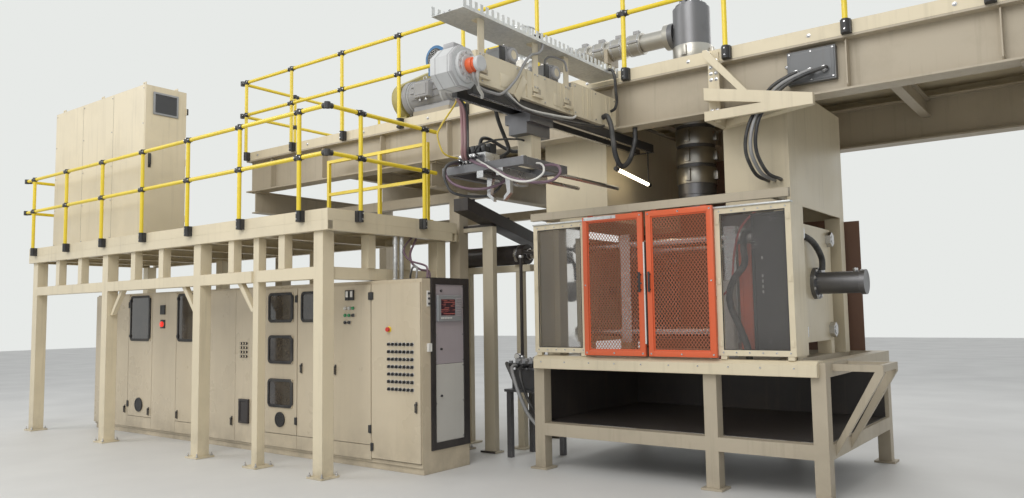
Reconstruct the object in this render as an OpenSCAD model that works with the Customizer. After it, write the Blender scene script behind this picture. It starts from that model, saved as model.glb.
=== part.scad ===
/* [Lower deck] */
// Height of the lower deck's walking surface above the floor
deck_h = 2800; // [2500:10:3000]
// Distance from the corner post to the lower deck's left end
deck_left = 6900; // [6400:10:7500]
// Distance from the corner post to the lower deck's right edge
deck_right = 195; // [150:5:260]
// Distance from the corner post to the lower deck's front edge
deck_front = 115; // [100:5:140]
// Distance from the corner post to the lower deck's back edge
deck_back = 1925; // [1850:5:1940]
// Side of the square deck posts
post_w = 150; // [100:10:170]
// Side of the square foot plates
foot_w = 240; // [220:5:280]
// Thickness of the foot plates
foot_t = 20; // [12:1:30]
// Radius of the anchor holes in the foot plates
anchor_r = 9; // [6:0.5:11]
// Spacing of the anchor holes
anchor_pitch = 195; // [190:1:200]
// Height of the low front beam's upper face
truss_z = 2198; // [2150:2:2260]
// Height of the low front beam
truss_h = 130; // [100:5:140]
// Width of the short struts above the low front beam
stub_w = 110; // [80:5:130]

/* [Decks] */
// Height of the fascia strip under a deck's walking surface
fascia_h = 120; // [100:5:150]
// Thickness of the deck plates
plate_t = 6; // [5:0.5:10]
// Height of the channels under the lower deck
joist_h = 107; // [90:1:140]
// Width of a channel's flange
channel_w = 75; // [60:1:90]
// Thickness of a channel's wall
channel_t = 9; // [7:0.5:12]

/* [Upper deck] */
// Height of the upper deck's walking surface above the floor
upper_h = 4150; // [4080:10:4300]
// Depth position of the upper deck's front edge
upper_front = 1575; // [1560:5:1600]
// Depth position of the upper deck's back edge
upper_back = 4500; // [4400:10:4800]
// Distance from the corner post to the upper deck's left end
upper_left = 3675; // [3500:5:3800]
// Distance from the corner post to the upper deck's right end
upper_right = 6600; // [6500:10:7200]
// Height of the main girders
girder_h = 480; // [440:5:500]
// Width of the main girders' flanges
girder_w = 220; // [180:5:260]
// Thickness of the main girders' plates
girder_t = 20; // [14:1:26]
// Side of the upper deck's columns
column_w = 165; // [160:5:240]
// Height of the columns
column_h = 3230; // [3200:5:3260]

/* [Railings] */
// Outside diameter of the rail tubes
rail_d = 48; // [42:1:52]
// Height of the top rail above its deck
rail_top = 1070; // [1000:5:1150]
// Height of the middle rail above its deck
rail_mid = 570; // [500:5:620]
// Distance between rail posts
rail_pitch = 1075; // [1000:5:1110]
// Height of the sockets that hold the rail posts
socket_h = 120; // [90:5:140]

/* [Cabinets] */
// Depth position of the cabinet row's doors
row_front = 615; // [580:5:680]
// Depth of the cabinets
row_d = 780; // [740:5:800]
// Height of the cabinets
row_h = 2060; // [1950:5:2060]
// Height of the cabinets' plinth
plinth_h = 110; // [80:5:130]
// Thickness of the cabinets' walls
sheet_t = 12; // [8:1:16]
// Thickness of the cabinet doors
door_t = 24; // [20:1:30]

/* [Clamp] */
// Middle of the clamp along the machine
clamp_x = 3000; // [2980:2:3020]
// Middle of the clamp across the machine
clamp_y = 2825; // [2800:5:2850]
// Height of the clamp's middle above the floor
clamp_z = 1930; // [1910:5:1950]
// Distance between the open platens
daylight = 1080; // [1040:10:1120]
// Travel of each platen
platen_stroke = 300; // [200:10:320]
// Width of a platen
platen_w = 1240; // [1200:10:1260]
// Height of a platen
platen_h = 1180; // [1160:10:1200]
// Thickness of a platen
platen_t = 120; // [100:5:125]
// Diameter of the tie bars
bar_d = 90; // [70:2:100]
// Spacing of the tie bars across the machine
bar_pitch_y = 1020; // [1000:5:1040]
// Spacing of the tie bars in height
bar_pitch_z = 960; // [940:5:980]
// Diameter of the clamp cylinders' rods
rod_d = 90; // [70:2:100]
// Diameter of the clamp cylinders' bores
bore_d = 160; // [140:2:170]
// Spacing of the mould bolts on a platen
mould_pitch = 500; // [400:10:600]
// Radius of the mould bolt holes
mould_hole_r = 11; // [8:0.5:13]
// Running clearance of a sliding fit
fit_gap = 0.06; // [0.03:0.01:0.09]

/* [Guards] */
// Depth position of the guard windows' front
guard_y = 1575; // [1570:1:1590]
// Height of the guard windows' lower edge
guard_z = 1250; // [1230:5:1270]
// Height of the guard windows
guard_h = 1375; // [1350:5:1390]
// Width of a guard frame's bars
guard_bar = 60; // [50:2:70]
// Thickness of a guard frame
guard_t = 50; // [40:2:60]
// Width of a sliding gate
gate_w = 700; // [690:5:705]
// Height of a sliding gate
gate_h = 1430; // [1400:5:1440]
// Thickness of a sliding gate
gate_t = 40; // [30:2:44]

/* [Extruder] */
// Height of the barrel's axis above the upper deck
barrel_z = 700; // [680:5:740]
// Outside diameter of the barrel
barrel_d = 210; // [180:5:230]
// Diameter of the screw's bore
screw_d = 90; // [80:1:100]
// Outside diameter of the parison head
head_d = 420; // [380:5:440]

/* [Take-out robot] */
// Left side of the robot's beam
beam_x = 2375; // [2360:5:2390]
// Width of the robot's beam
beam_w = 300; // [280:5:310]
// Drop of the robot beam's underside below the upper deck
beam_drop = 610; // [600:5:630]
// Height of the robot's beam
beam_h = 265; // [250:5:280]
// Reach of the robot's beam in front of the upper deck
beam_reach = 2250; // [2100:10:2300]
// Side of the robot's vertical arm
arm_w = 150; // [120:2:160]

/* [Hidden] */
$fn = 48;

seam = 0.3; // gap between two faces that are bolted together

cream = [0.78, 0.73, 0.60];
tan_paint = [0.66, 0.60, 0.48];
yellow = [0.93, 0.80, 0.10];
orange = [0.85, 0.27, 0.14];
black = [0.10, 0.10, 0.11];
dark = [0.22, 0.22, 0.23];
grey = [0.58, 0.58, 0.58];
pale = [0.80, 0.80, 0.78];
steel = [0.66, 0.67, 0.68];
blue = [0.20, 0.38, 0.55];

// A block given by its low and high corners
module slab(a, b) {
  translate(a) cube([b[0] - a[0], b[1] - a[1], b[2] - a[2]]);
}

// Round bars along the three axes, given by a start point and a length
module bar_x(p, r, l) {
  translate(p) rotate([0, 90, 0]) cylinder(h = l, r = r);
}
module bar_y(p, r, l) {
  translate(p) rotate([-90, 0, 0]) cylinder(h = l, r = r);
}
module bar_z(p, r, l) {
  translate(p) cylinder(h = l, r = r);
}

// Plans drawn across one axis and raised along it
module raise_x(x0, l) {
  translate([x0, 0, 0]) rotate([90, 0, 90]) linear_extrude(height = l) children();
}
module raise_y(y0, l) {
  translate([0, y0 + l, 0]) rotate([90, 0, 0]) linear_extrude(height = l) children();
}

// Channel profile with its back on the left and its lower corner at the origin
module channel_profile(w, h, t) {
  difference() {
    square([w, h]);
    translate([t, t]) square([w, h - 2 * t]);
  }
}

// Wide-flange profile standing on the origin
module girder_profile(w, h, t) {
  translate([-w / 2, 0]) square([w, t]);
  translate([-w / 2, h - t]) square([w, t]);
  translate([-t / 2, t / 2]) square([t, h - t]);
}

// Lower deck

post_x = [0, -1115, -2270, -4550, -6750];
slim_post = 100;
post_back_y = deck_back - post_w;
joist_top = deck_h - fascia_h;
joist_low = joist_top - joist_h;
truss_low = truss_z - truss_h;
stub_x = [-620, -1565, -3100, -3800, -5300, -6000];
side_stub_y = [620, 1180];

module foot_plate(x, y, side) {
  difference() {
    translate([x - side / 2, y - side / 2, 0]) cube([side, side, foot_t]);
    for (sx = [-1, 1], sy = [-1, 1])
      translate([x + sx * anchor_pitch / 2, y + sy * anchor_pitch / 2, -1])
        cylinder(h = foot_t + 2, r = anchor_r);
  }
}

module deck_post(x, y, w, top) {
  foot_plate(x, y, foot_w);
  translate([x - w / 2, y - w / 2, foot_t / 2]) cube([w, w, top - foot_t / 2]);
}

// The second post of the front row is slimmer than the others
function post_side(i) = i == 1 ? slim_post : post_w;

// Low front beam between two posts
module front_bay(i) {
  slab([post_x[i + 1] + post_side(i + 1) / 2 + seam, -post_w / 2, truss_low],
    [post_x[i] - post_side(i) / 2 - seam, post_w / 2 - 20, truss_z]);
}

module post_brace(x, side) {
  // Flat knee between a post and the low beam
  raise_y(-30, 60)
    polygon([[x + side * 2, truss_low - 330], [x + side * 60, truss_low - 330],
      [x + side * 330, truss_low - seam], [x + side * 250, truss_low - seam]]);
}

module lower_deck_frame() {
  color(cream) {
    for (i = [0 : len(post_x) - 1])
      deck_post(post_x[i], 0, post_side(i), joist_low - seam);
    for (x = [post_x[0], post_x[2], post_x[3], post_x[4]])
      deck_post(x, post_back_y, post_w, joist_low - seam);
    for (i = [0 : 3]) front_bay(i);
    slab([-post_w / 2, post_w / 2 + seam, truss_low],
      [post_w / 2 - 20, post_back_y - post_w / 2 - seam, truss_z]);
    for (x = stub_x)
      slab([x - stub_w / 2, -post_w / 2, truss_z + seam], [x + stub_w / 2, 30, joist_low - seam]);
    for (y = side_stub_y)
      slab([-40, y - stub_w / 2, truss_z + seam], [post_w / 2, y + stub_w / 2, joist_low - seam]);
    post_brace(post_x[1] - slim_post / 2, -1);
    post_brace(post_x[3] + post_w / 2, 1);
    post_brace(post_x[2] - post_w / 2, -1);
    // Edge channels, toes inwards
    translate([0, 0, joist_low]) {
      raise_x(-deck_left, deck_left + deck_right)
        translate([-deck_front, 0]) channel_profile(channel_w, joist_h, channel_t);
      raise_x(-deck_left, deck_left + deck_right)
        translate([deck_back, 0]) mirror([1, 0]) channel_profile(channel_w, joist_h, channel_t);
    }
    // Bracket that ties the back channel to the upper deck's column
    slab([0, deck_back - 1, joist_low + 10],
      [120, column_front_y - column_w / 2 - seam, joist_top - 10]);
    inner0 = -deck_front + channel_w + seam;
    inner1 = deck_back - channel_w - seam;
    translate([0, 0, joist_low]) {
      raise_y(inner0, inner1 - inner0)
        translate([deck_right, 0]) mirror([1, 0]) channel_profile(channel_w, joist_h, channel_t);
      raise_y(inner0, inner1 - inner0)
        translate([-deck_left, 0]) channel_profile(channel_w, joist_h, channel_t);
      for (i = [0 : 5])
        raise_y(inner0, inner1 - inner0)
          translate([-1000 - i * 1050, 0]) channel_profile(channel_w, joist_h, channel_t);
    }
  }
}

// Upper deck

girder_top = upper_h - fascia_h;
girder_low = girder_top - girder_h;
girder_front_y = upper_front + girder_w / 2;
girder_back_y = upper_back - girder_w / 2;
cross_h = 200;
cross_x = [-2700, -1300, 900, 2000, 4000, 5100, 6300];
cross_low = girder_top - girder_t - cross_h - seam;
bearer_x = [-3500, 60, 6300];
bearer_h = girder_low - column_h;
column_front_y = 2125;
column_back_y = upper_back - 200;
opening_w = 640;

module stiffener(x, y, side) {
  // Web plate of a main girder with its corners cut for the welds
  d = (girder_w - girder_t) / 2 - 6;
  raise_x(x, 12)
    translate([y + side * girder_t / 2, girder_low + girder_t])
      polygon([[0, 0], [side * (d - 30), 0], [side * d, 30],
        [side * d, girder_h - 2 * girder_t - 30], [side * (d - 30), girder_h - 2 * girder_t],
        [0, girder_h - 2 * girder_t]]);
}

module main_girder(y, side) {
  union() {
    translate([0, 0, girder_low])
      raise_x(-upper_left, upper_left + upper_right)
        translate([y, 0]) girder_profile(girder_w, girder_h, girder_t);
    for (i = [0 : 8]) stiffener(-3100 + i * 1150, y, side);
  }
}

module upper_deck_frame() {
  color(tan_paint) {
    main_girder(girder_front_y, -1);
    main_girder(girder_back_y, 1);
    y0 = girder_front_y + girder_t / 2 + seam;
    y1 = girder_back_y - girder_t / 2 - seam;
    for (x = cross_x)
      translate([0, 0, cross_low])
        raise_y(y0, y1 - y0) translate([x, 0]) girder_profile(100, cross_h, 12);
    // Two beams beside the head's opening
    for (s = [-1, 1])
      translate([0, 0, cross_low])
        raise_y(y0, y1 - y0)
          translate([clamp_x + s * (opening_w / 2 + 60), 0]) girder_profile(100, cross_h, 12);
    // Bearers on the columns
    for (x = bearer_x)
      translate([0, 0, column_h + seam])
        raise_y(upper_front + 40, upper_back - upper_front - 80)
          translate([x, 0]) girder_profile(column_w, bearer_h - 2 * seam, 18);
    for (x = bearer_x, y = [column_front_y, column_back_y]) {
      foot_plate(x, y, column_w + 100);
      translate([x - column_w / 2, y - column_w / 2, foot_t / 2])
        cube([column_w, column_w, column_h - foot_t / 2]);
    }
    // Ties between the columns of the left half
    for (y = [column_front_y, column_back_y])
      slab([bearer_x[0] + column_w / 2 + seam, y - 60, column_h - 130],
        [bearer_x[1] - column_w / 2 - seam, y + 60, column_h - 4]);
  }
}

// A deck plate with its edges turned down
module deck_tray(a, b, top) {
  difference() {
    slab([a[0], a[1], top - fascia_h + seam], [b[0], b[1], top]);
    slab([a[0] + plate_t, a[1] + plate_t, top - fascia_h - 1],
      [b[0] - plate_t, b[1] - plate_t, top - plate_t]);
  }
}

module deck_plates() {
  color(cream) {
    deck_tray([-deck_left, -deck_front], [deck_right, deck_back], deck_h);
    difference() {
      deck_tray([-upper_left, upper_front], [upper_right, upper_back], upper_h);
      // Round opening for the parison head
      bar_z([clamp_x, clamp_y, upper_h - fascia_h], head_d / 2 + 30, 2 * fascia_h);
    }
  }
}

// Box columns over the clamp, which carry the upper deck
hood_low = 2660;
hood_y0 = 1925;
hood_y1 = 3725;
leg_w = 160;
hood_left = [1556, 2357];
hood_right = [3687, 4321];

hood_wall = 14;

// Box column of welded plate, open at both ends
module hood(xr) {
  difference() {
    slab([xr[0], hood_y0, hood_low], [xr[1], hood_y1, cross_low - seam]);
    slab([xr[0] + hood_wall, hood_y0 + hood_wall, hood_low - 1],
      [xr[1] - hood_wall, hood_y1 - hood_wall, cross_low]);
  }
}

module support_columns() {
  color(cream) {
    hood(hood_left);
    hood(hood_right);
    // Legs down to the clamp's base
    for (x = [hood_left[0], hood_right[1] - leg_w], y = [hood_y0, hood_y1 - leg_w])
      slab([x, y, base_top + seam], [x + leg_w, y + leg_w, hood_low - seam]);
  }
}

// Railings

rail_r = rail_d / 2;
flange_plate_t = 8;
rail_off = flange_plate_t + 40;
rail_y = -deck_front - rail_off;
rail_side_x = deck_right + rail_off;
rail_left_x = -deck_left - rail_off;
up_rail_y = upper_front - rail_off;
up_rail_x = -upper_left - rail_off;
up_right_x = upper_right + rail_off;
first_post = -215;
up_first_post = -3625;
front_posts = [for (i = [0 : 6]) first_post - i * rail_pitch];
side_posts = [300, 1300];
upper_posts = [for (i = [0 : 9]) up_first_post + i * rail_pitch];
left_return = [680, 1690];
upper_return = [2500, 3500, 4350];
sleeve_r = rail_r + 7;
sleeve_l = 62;

// Each post is [x, y, deck height]
rail_posts = concat(
  [for (x = front_posts) [x, rail_y, deck_h]],
  [for (y = side_posts) [rail_side_x, y, deck_h]],
  [for (y = left_return) [rail_left_x, y, deck_h]],
  [for (x = upper_posts) [x, up_rail_y, upper_h]],
  [for (y = upper_return) [up_rail_x, y, upper_h]],
  [for (y = upper_return) [up_right_x, y, upper_h]]);

// Rails between posts along X, with a gap inside the fitting at each post
module rails_x(xs, y, deck, x_start, x_end) {
  stops = concat([x_start], xs, [x_end]);
  for (z = [deck + rail_mid, deck + rail_top], i = [0 : len(stops) - 2])
    bar_x([stops[i] + rail_r + 1, y, z], rail_r, stops[i + 1] - stops[i] - 2 * rail_r - 2);
}

module rails_y(ys, x, deck, y_start, y_end) {
  stops = concat([y_start], ys, [y_end]);
  for (z = [deck + rail_mid, deck + rail_top], i = [0 : len(stops) - 2])
    bar_y([x, stops[i] + rail_r + 1, z], rail_r, stops[i + 1] - stops[i] - 2 * rail_r - 2);
}

function reversed(v) = [for (i = [len(v) - 1 : -1 : 0]) v[i]];

back_end_y = 1480;

module guard_rails() {
  color(yellow) {
    for (p = rail_posts)
      bar_z([p[0], p[1], p[2] - fascia_h + 4], rail_r, fascia_h - 4 + rail_top + sleeve_l / 2 - 6);
    rails_x(reversed(front_posts), rail_y, deck_h, rail_left_x, rail_side_x);
    rails_y(side_posts, rail_side_x, deck_h, rail_y, back_end_y + 2 * rail_r);
    rails_y(left_return, rail_left_x, deck_h, rail_y, 1860);
    rails_x(upper_posts, up_rail_y, upper_h, up_rail_x, up_right_x);
    rails_y(upper_return, up_rail_x, upper_h, up_rail_y, upper_back - 20);
    rails_y(upper_return, up_right_x, upper_h, up_rail_y, upper_back - 20);
  }
}

// Bored sleeve of a rail fitting; along is the rail's direction
module cross_fitting(p, z, along) {
  g = 0.3;
  translate([p[0], p[1], z])
    difference() {
      union() {
        translate([0, 0, -sleeve_l / 2]) cylinder(h = sleeve_l, r = sleeve_r);
        rotate(along) translate([-sleeve_l, 0, 0]) rotate([0, 90, 0])
          cylinder(h = 2 * sleeve_l, r = sleeve_r - 1);
      }
      translate([0, 0, -sleeve_l]) cylinder(h = 2 * sleeve_l, r = rail_r + g);
      rotate(along) translate([-2 * sleeve_l, 0, 0]) rotate([0, 90, 0])
        cylinder(h = 4 * sleeve_l, r = rail_r + g);
    }
}

// Corner fitting where two rails meet at right angles
module corner_fitting(p, z, ax, ay) {
  g = 0.3;
  translate([p[0], p[1], z])
    difference() {
      union() {
        translate([0, 0, -sleeve_r - 2]) cylinder(h = 2 * sleeve_r + 4, r = sleeve_r + 2);
        rotate(ax) rotate([0, 90, 0]) cylinder(h = sleeve_l, r = sleeve_r - 1);
        rotate(ay) rotate([0, 90, 0]) cylinder(h = sleeve_l, r = sleeve_r - 1);
      }
      rotate(ax) translate([rail_r, 0, 0]) rotate([0, 90, 0]) cylinder(h = sleeve_l, r = rail_r + g);
      rotate(ay) translate([rail_r, 0, 0]) rotate([0, 90, 0]) cylinder(h = sleeve_l, r = rail_r + g);
    }
}

// Socket bolted to the fascia, open at the top
module socket(p, deck, turn) {
  translate([p[0], p[1], deck - fascia_h])
    difference() {
      union() {
        cylinder(h = socket_h, r = sleeve_r + 2);
        rotate(turn) translate([-42, 0, 0])
          cube([84, rail_off - seam, socket_h]);
      }
      translate([0, 0, 3.7]) cylinder(h = socket_h, r = rail_r + 0.3);
    }
}

module rail_fittings() {
  color(black) {
    for (p = rail_posts) {
      side = p[0] == rail_side_x || p[0] == rail_left_x || p[0] == up_rail_x || p[0] == up_right_x;
      left = p[0] == rail_left_x || p[0] == up_rail_x;
      for (z = [p[2] + rail_mid, p[2] + rail_top]) cross_fitting(p, z, side ? 90 : 0);
      socket(p, p[2], side ? (left ? -90 : 90) : 0);
    }
    for (z = [rail_mid, rail_top]) {
      corner_fitting([rail_side_x, rail_y], deck_h + z, 180, 90);
      corner_fitting([rail_left_x, rail_y], deck_h + z, 0, 90);
      corner_fitting([up_rail_x, up_rail_y], upper_h + z, 0, 90);
      corner_fitting([up_right_x, up_rail_y], upper_h + z, 180, 90);
    }
  }
}

// Welded guard along the back of the lower deck
module back_guard() {
  guard_x = [deck_right - 1870, deck_right - 895, deck_right - 70];
  w = 40;
  top = deck_h + rail_top - 110;
  color(yellow)
    translate([0, back_end_y - w / 2, 0]) {
      for (x = guard_x) {
        slab([x - w / 2, 0, deck_h + seam], [x + w / 2, w, top]);
        slab([x - 55, -20, deck_h + seam], [x + 55, w + 20, deck_h + 10]);
      }
      slab([guard_x[0], 0, top - w], [guard_x[2], w, top]);
      slab([guard_x[0], 0, deck_h + 480], [guard_x[2], w, deck_h + 480 + w]);
    }
}

// Triangular bracket for the hoses, in front of the upper deck's girder
bracket_x = 3705;
bracket_x1 = 4700;
bracket_y = 1440;
bracket_t = 40;
bracket_low = girder_low - 110;
arm_z0 = bracket_low + 200;
arm_z1 = arm_z0 + 120;
strut_top = upper_h - 30;

module hose_bracket() {
  y1 = upper_front - seam;
  color(cream) {
    // Back plate on the girder and the fascia
    slab([bracket_x, y1 - 14, bracket_low], [bracket_x + 110, y1, strut_top]);
    // Flat triangle under the girder, open in the middle for the hoses
    translate([0, 0, bracket_low])
      linear_extrude(height = 90)
        difference() {
          polygon([[bracket_x, bracket_y], [bracket_x1, bracket_y], [bracket_x1, bracket_y + 60],
            [bracket_x, bracket_y + 460]]);
          polygon([[bracket_x + 60, bracket_y + bracket_t], [bracket_x1 - 220, bracket_y + bracket_t],
            [bracket_x + 60, bracket_y + 370]]);
        }
    // Arm sloping down to the triangle's tip, and the strut above it
    raise_y(bracket_y, bracket_t)
      polygon([[bracket_x, arm_z0], [bracket_x1, bracket_low], [bracket_x1, bracket_low + 100],
        [bracket_x, arm_z1]]);
    raise_y(bracket_y, bracket_t)
      polygon([[bracket_x, strut_top - 60], [bracket_x + 360, arm_z1 - 110],
        [bracket_x + 440, arm_z1 - 120], [bracket_x + 40, strut_top], [bracket_x, strut_top]]);
    for (z = [[arm_z0 + 10, arm_z1 - 10], [strut_top - 60, strut_top]])
      slab([bracket_x, bracket_y, z[0]], [bracket_x + 36, y1, z[1]]);
  }
}

box_x = 4440;
box_z = girder_low + 130;
box_t = 60;
gland_x = [90, 210, 330];
gland_z = box_z + 90;
gland_l = 40;
hose_r = 17;

module junction_box() {
  back = girder_front_y - girder_t / 2 - seam;
  front = back - box_t;
  color(grey) {
    difference() {
      slab([box_x, front, box_z], [box_x + 420, back, box_z + 300]);
      for (x = gland_x) bar_y([box_x + x, front - 1, gland_z], hose_r + seam, 31);
    }
    for (x = gland_x)
      difference() {
        bar_y([box_x + x, front - gland_l, gland_z], 26, gland_l + 1);
        bar_y([box_x + x, front - gland_l - 1, gland_z], hose_r + seam, gland_l + 3);
      }
  }
}

// Drive cabinet on the lower deck

dc_x0 = -6655;
dc_x1 = -3940;
dc_y0 = 125;
dc_y1 = 740;
dc_h = 2150;

module lifting_ear(x, y) {
  difference() {
    translate([x - 40, y - 5, 0]) cube([80, 10, 70]);
    bar_y([x, y - 10, 42], 16, 20);
  }
}

module drive_cabinet() {
  color(cream)
    translate([0, 0, deck_h + seam])
      difference() {
        union() {
          slab([dc_x0, dc_y0, 0], [dc_x1 - door_t - seam, dc_y1, dc_h]);
          for (x = [dc_x0 + 120, (dc_x0 + dc_x1) / 2, dc_x1 - 160], y = [dc_y0 + 70, dc_y1 - 70])
            translate([0, 0, dc_h]) lifting_ear(x, y);
        }
        slab([dc_x0 + 20, dc_y0 + 20, 100], [dc_x1, dc_y1 - 20, dc_h - 20]);
      }
}

module drive_cabinet_door() {
  gap = 3;
  lx0 = dc_y0 + 130;
  color(cream)
    translate([0, 0, deck_h + seam]) {
      difference() {
        slab([dc_x1 - door_t, dc_y0 + gap, gap], [dc_x1, dc_y1 - gap, dc_h - gap]);
        for (i = [0 : 8])
          translate([0, 0, dc_h - 370 + i * 30])
            slab([dc_x1 - door_t - 1, lx0, 0], [dc_x1 + 1, lx0 + 330, 12]);
      }
      for (z = [260, dc_h / 2, dc_h - 330])
        bar_z([dc_x1 + 8, dc_y1 - gap, z], 9, 90);
    }
}

// Cabinet row

// Each case is [left, right]
supply_x = [-6195, -2005 - seam];
heater_x = [-2005, -584 - seam];
gauge_x = [-584, 64 - seam];
selector_x = [64, 815];
case_front = row_front + door_t + seam;
rack_y0 = 771;
rack_y1 = 1395;
rack_depth = 560;
rack_z0 = 235;

// Box open at the front, standing on a plinth
module cabinet_case(xr, depth) {
  difference() {
    slab([xr[0], case_front, 0], [xr[1], row_front + depth, row_h]);
    slab([xr[0] + sheet_t, case_front - 1, plinth_h], [xr[1] - sheet_t,
      row_front + depth - sheet_t, row_h - sheet_t - 30]);
    slab([xr[0] - 1, case_front - 1, -1], [xr[1] + 1, case_front + 20, plinth_h - 40]);
  }
}

hinge_r = 6;
kick_z = 260;
latch_z = 1060;

// Sheet door with its edges turned in, hinge barrels on one side
module sheet_door(x0, x1, hinge_right, low = kick_z) {
  hx = hinge_right ? x1 - hinge_r : x0 + hinge_r;
  difference() {
    slab([x0 + hinge_r, row_front, low], [x1 - hinge_r, row_front + door_t, row_h - 40]);
    slab([x0 + hinge_r + 8, row_front + 3, low + 8],
      [x1 - hinge_r - 8, row_front + door_t + 1, row_h - 48]);
  }
  for (z = [low + 170, row_h - 170]) bar_z([hx, row_front - hinge_r + seam, z - 45], hinge_r, 90);
}

// Fixed panel between the plinth and a door
module kick_panel(x0, x1) {
  slab([x0 + 2, row_front, plinth_h - 10], [x1 - 2, case_front + 4, kick_z - 6]);
}

// Bull-nosed latch handle
module latch(x, z) {
  slab([x - 13, row_front - 8, z - 60], [x + 13, row_front, z + 60]);
  bar_y([x, row_front - 26, z + 30], 14, 19);
  slab([x - 9, row_front - 26, z - 50], [x + 9, row_front - 16, z + 30]);
}

// Round-cornered opening in a door
module window_hole(cx, cz, w, h) {
  r = 45;
  raise_y(row_front - 5, door_t + 10)
    translate([cx, cz])
      union() {
        square([w - 2 * r, h], center = true);
        square([w, h - 2 * r], center = true);
        for (sx = [-1, 1], sz = [-1, 1])
          translate([sx * (w / 2 - r), sz * (h / 2 - r)]) circle(r = r);
      }
}

// Window glazed in a rubber frame, seated in its opening
module window_unit(cx, cz, w, h) {
  difference() {
    raise_y(row_front - 12, 14)
      translate([cx, cz]) square([w + 36, h + 36], center = true);
    raise_y(row_front - 14, 8)
      translate([cx, cz]) square([w - 10, h - 10], center = true);
  }
}

// Door leaf that is closed for good, part of its case
module fixed_leaf(x0, x1) {
  slab([x0 + 2, row_front, plinth_h - 10], [x1 - 2, case_front + 4, row_h - 20]);
}

supply_left = [-5190, -4520];
supply_right = [-3885, -3245];
supply_seam = -2475;
window_z = row_h - 370;

module supply_cabinet() {
  color(cream) {
    cabinet_case(supply_x, row_d);
    fixed_leaf(supply_x[0], supply_left[0]);
    fixed_leaf(supply_left[1], supply_right[0]);
    fixed_leaf(supply_right[1], supply_seam);
    fixed_leaf(supply_seam, supply_x[1]);
    kick_panel(supply_left[0], supply_left[1]);
    kick_panel(supply_right[0], supply_right[1]);
    for (x = [supply_left[0] - 60, supply_seam - 60]) latch(x, 350);
    // Meter and lamp
    slab([-4300, row_front - 10, row_h - 320], [-4180, row_front, row_h - 190]);
    bar_y([-4240, row_front - 26, row_h - 460], 38, 26);
    // Vent hood and push buttons
    slab([-2360, row_front - 14, 340], [-2160, row_front, 640]);
    for (i = [0 : 2], j = [0 : 3]) bar_y([-2340 + i * 55, row_front - 22, 1180 + j * 55], 14, 22);
  }
}

module supply_door_left() {
  x = (supply_left[0] + supply_left[1]) / 2;
  color(cream) {
    difference() {
      sheet_door(supply_left[0], supply_left[1], false);
      window_hole(x, window_z, 520, 620);
    }
    window_unit(x, window_z, 520, 620);
    latch(supply_left[1] - 60, 350);
    bar_y([x, row_front - 12, 430], 95, 12);
  }
}

module supply_door_right() {
  x = (supply_right[0] + supply_right[1]) / 2;
  color(cream) {
    difference() {
      sheet_door(supply_right[0], supply_right[1], true);
      window_hole(x, window_z, 520, 620);
    }
    window_unit(x, window_z, 520, 620);
    latch(supply_right[0] + 60, 350);
  }
}

module control_cabinets() {
  color(cream) {
    cabinet_case(heater_x, row_d);
    cabinet_case(gauge_x, row_d);
    kick_panel(heater_x[0], heater_split);
    kick_panel(heater_split, heater_x[1]);
    kick_panel(gauge_x[0], gauge_x[1]);
    // The last case leaves room for the rack in its end
    difference() {
      cabinet_case(selector_x, row_d);
      slab([selector_x[1] - rack_depth, rack_y0 - seam, rack_z0 - seam],
        [selector_x[1] + 1, rack_y1 + 1, row_h + 30]);
    }
    // Conduits up to the lower deck's end channel
    for (y = [row_front + 285, row_front + 385])
      bar_z([deck_right - 40, y, row_h - 1], 22, joist_low - seam - row_h + 1);
  }
}

heater_split = -1220;
heater_window_w = 440;
// Each window of the left door is [height of its middle, height]
heater_windows = [[row_h - 270, 320], [row_h - 783, 300], [row_h - 1312, 300]];

module heater_door_left() {
  x = heater_split - 315;
  color(cream) {
    difference() {
      sheet_door(heater_x[0], heater_split, true);
      for (w = heater_windows) window_hole(x, w[0], heater_window_w, w[1]);
    }
    for (w = heater_windows) window_unit(x, w[0], heater_window_w, w[1]);
    bar_y([x, row_front - 12, 430], 85, 12);
    latch(heater_x[0] + 105, latch_z);
  }
}

module heater_door_right() {
  x = heater_split + 320;
  w = heater_windows[0];
  color(cream) {
    difference() {
      sheet_door(heater_split, heater_x[1], true);
      window_hole(x, w[0], heater_window_w, w[1]);
    }
    window_unit(x, w[0], heater_window_w, w[1]);
    latch(heater_split + 90, latch_z);
  }
}

module gauge_door() {
  color(cream) {
    sheet_door(gauge_x[0], gauge_x[1], true);
    for (i = [0 : 1])
      slab([-345 + i * 75, row_front - 14, row_h - 210], [-285 + i * 75, row_front, row_h - 95]);
    for (i = [0 : 2], j = [0 : 2])
      if (i < 2 || j > 0) bar_y([-350 + i * 65, row_front - 24, row_h - 460 + j * 80], 17, 24);
    latch(gauge_x[0] + 60, latch_z);
  }
}

knob_x0 = 350;
knob_z0 = 880;

button_z = knob_z0 + 640;
button_r = 11;
collar_h = 11;

module selector_door() {
  color(cream) {
    sheet_door(selector_x[0], selector_x[1], false, plinth_h + 10);
    latch(selector_x[1] - 60, 700);
    // Collar that guides the stop button
    difference() {
      bar_y([knob_x0, row_front - collar_h, button_z], button_r + 7, collar_h);
      bar_y([knob_x0, row_front - collar_h - 1, button_z], button_r + seam, collar_h + 1);
    }
  }
}

// Selector switches in rows on the door
module selector_knobs() {
  color(black)
    for (i = [0 : 6], j = [0 : 6])
      translate([knob_x0 + i * 58, row_front - seam, knob_z0 + j * 80]) {
        rotate([90, 0, 0]) cylinder(h = 10, r = 17);
        rotate([90, 0, 0]) cylinder(h = 24, r = 10);
        translate([-4, -34, -15]) cube([8, 12, 30]);
      }
}

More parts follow.
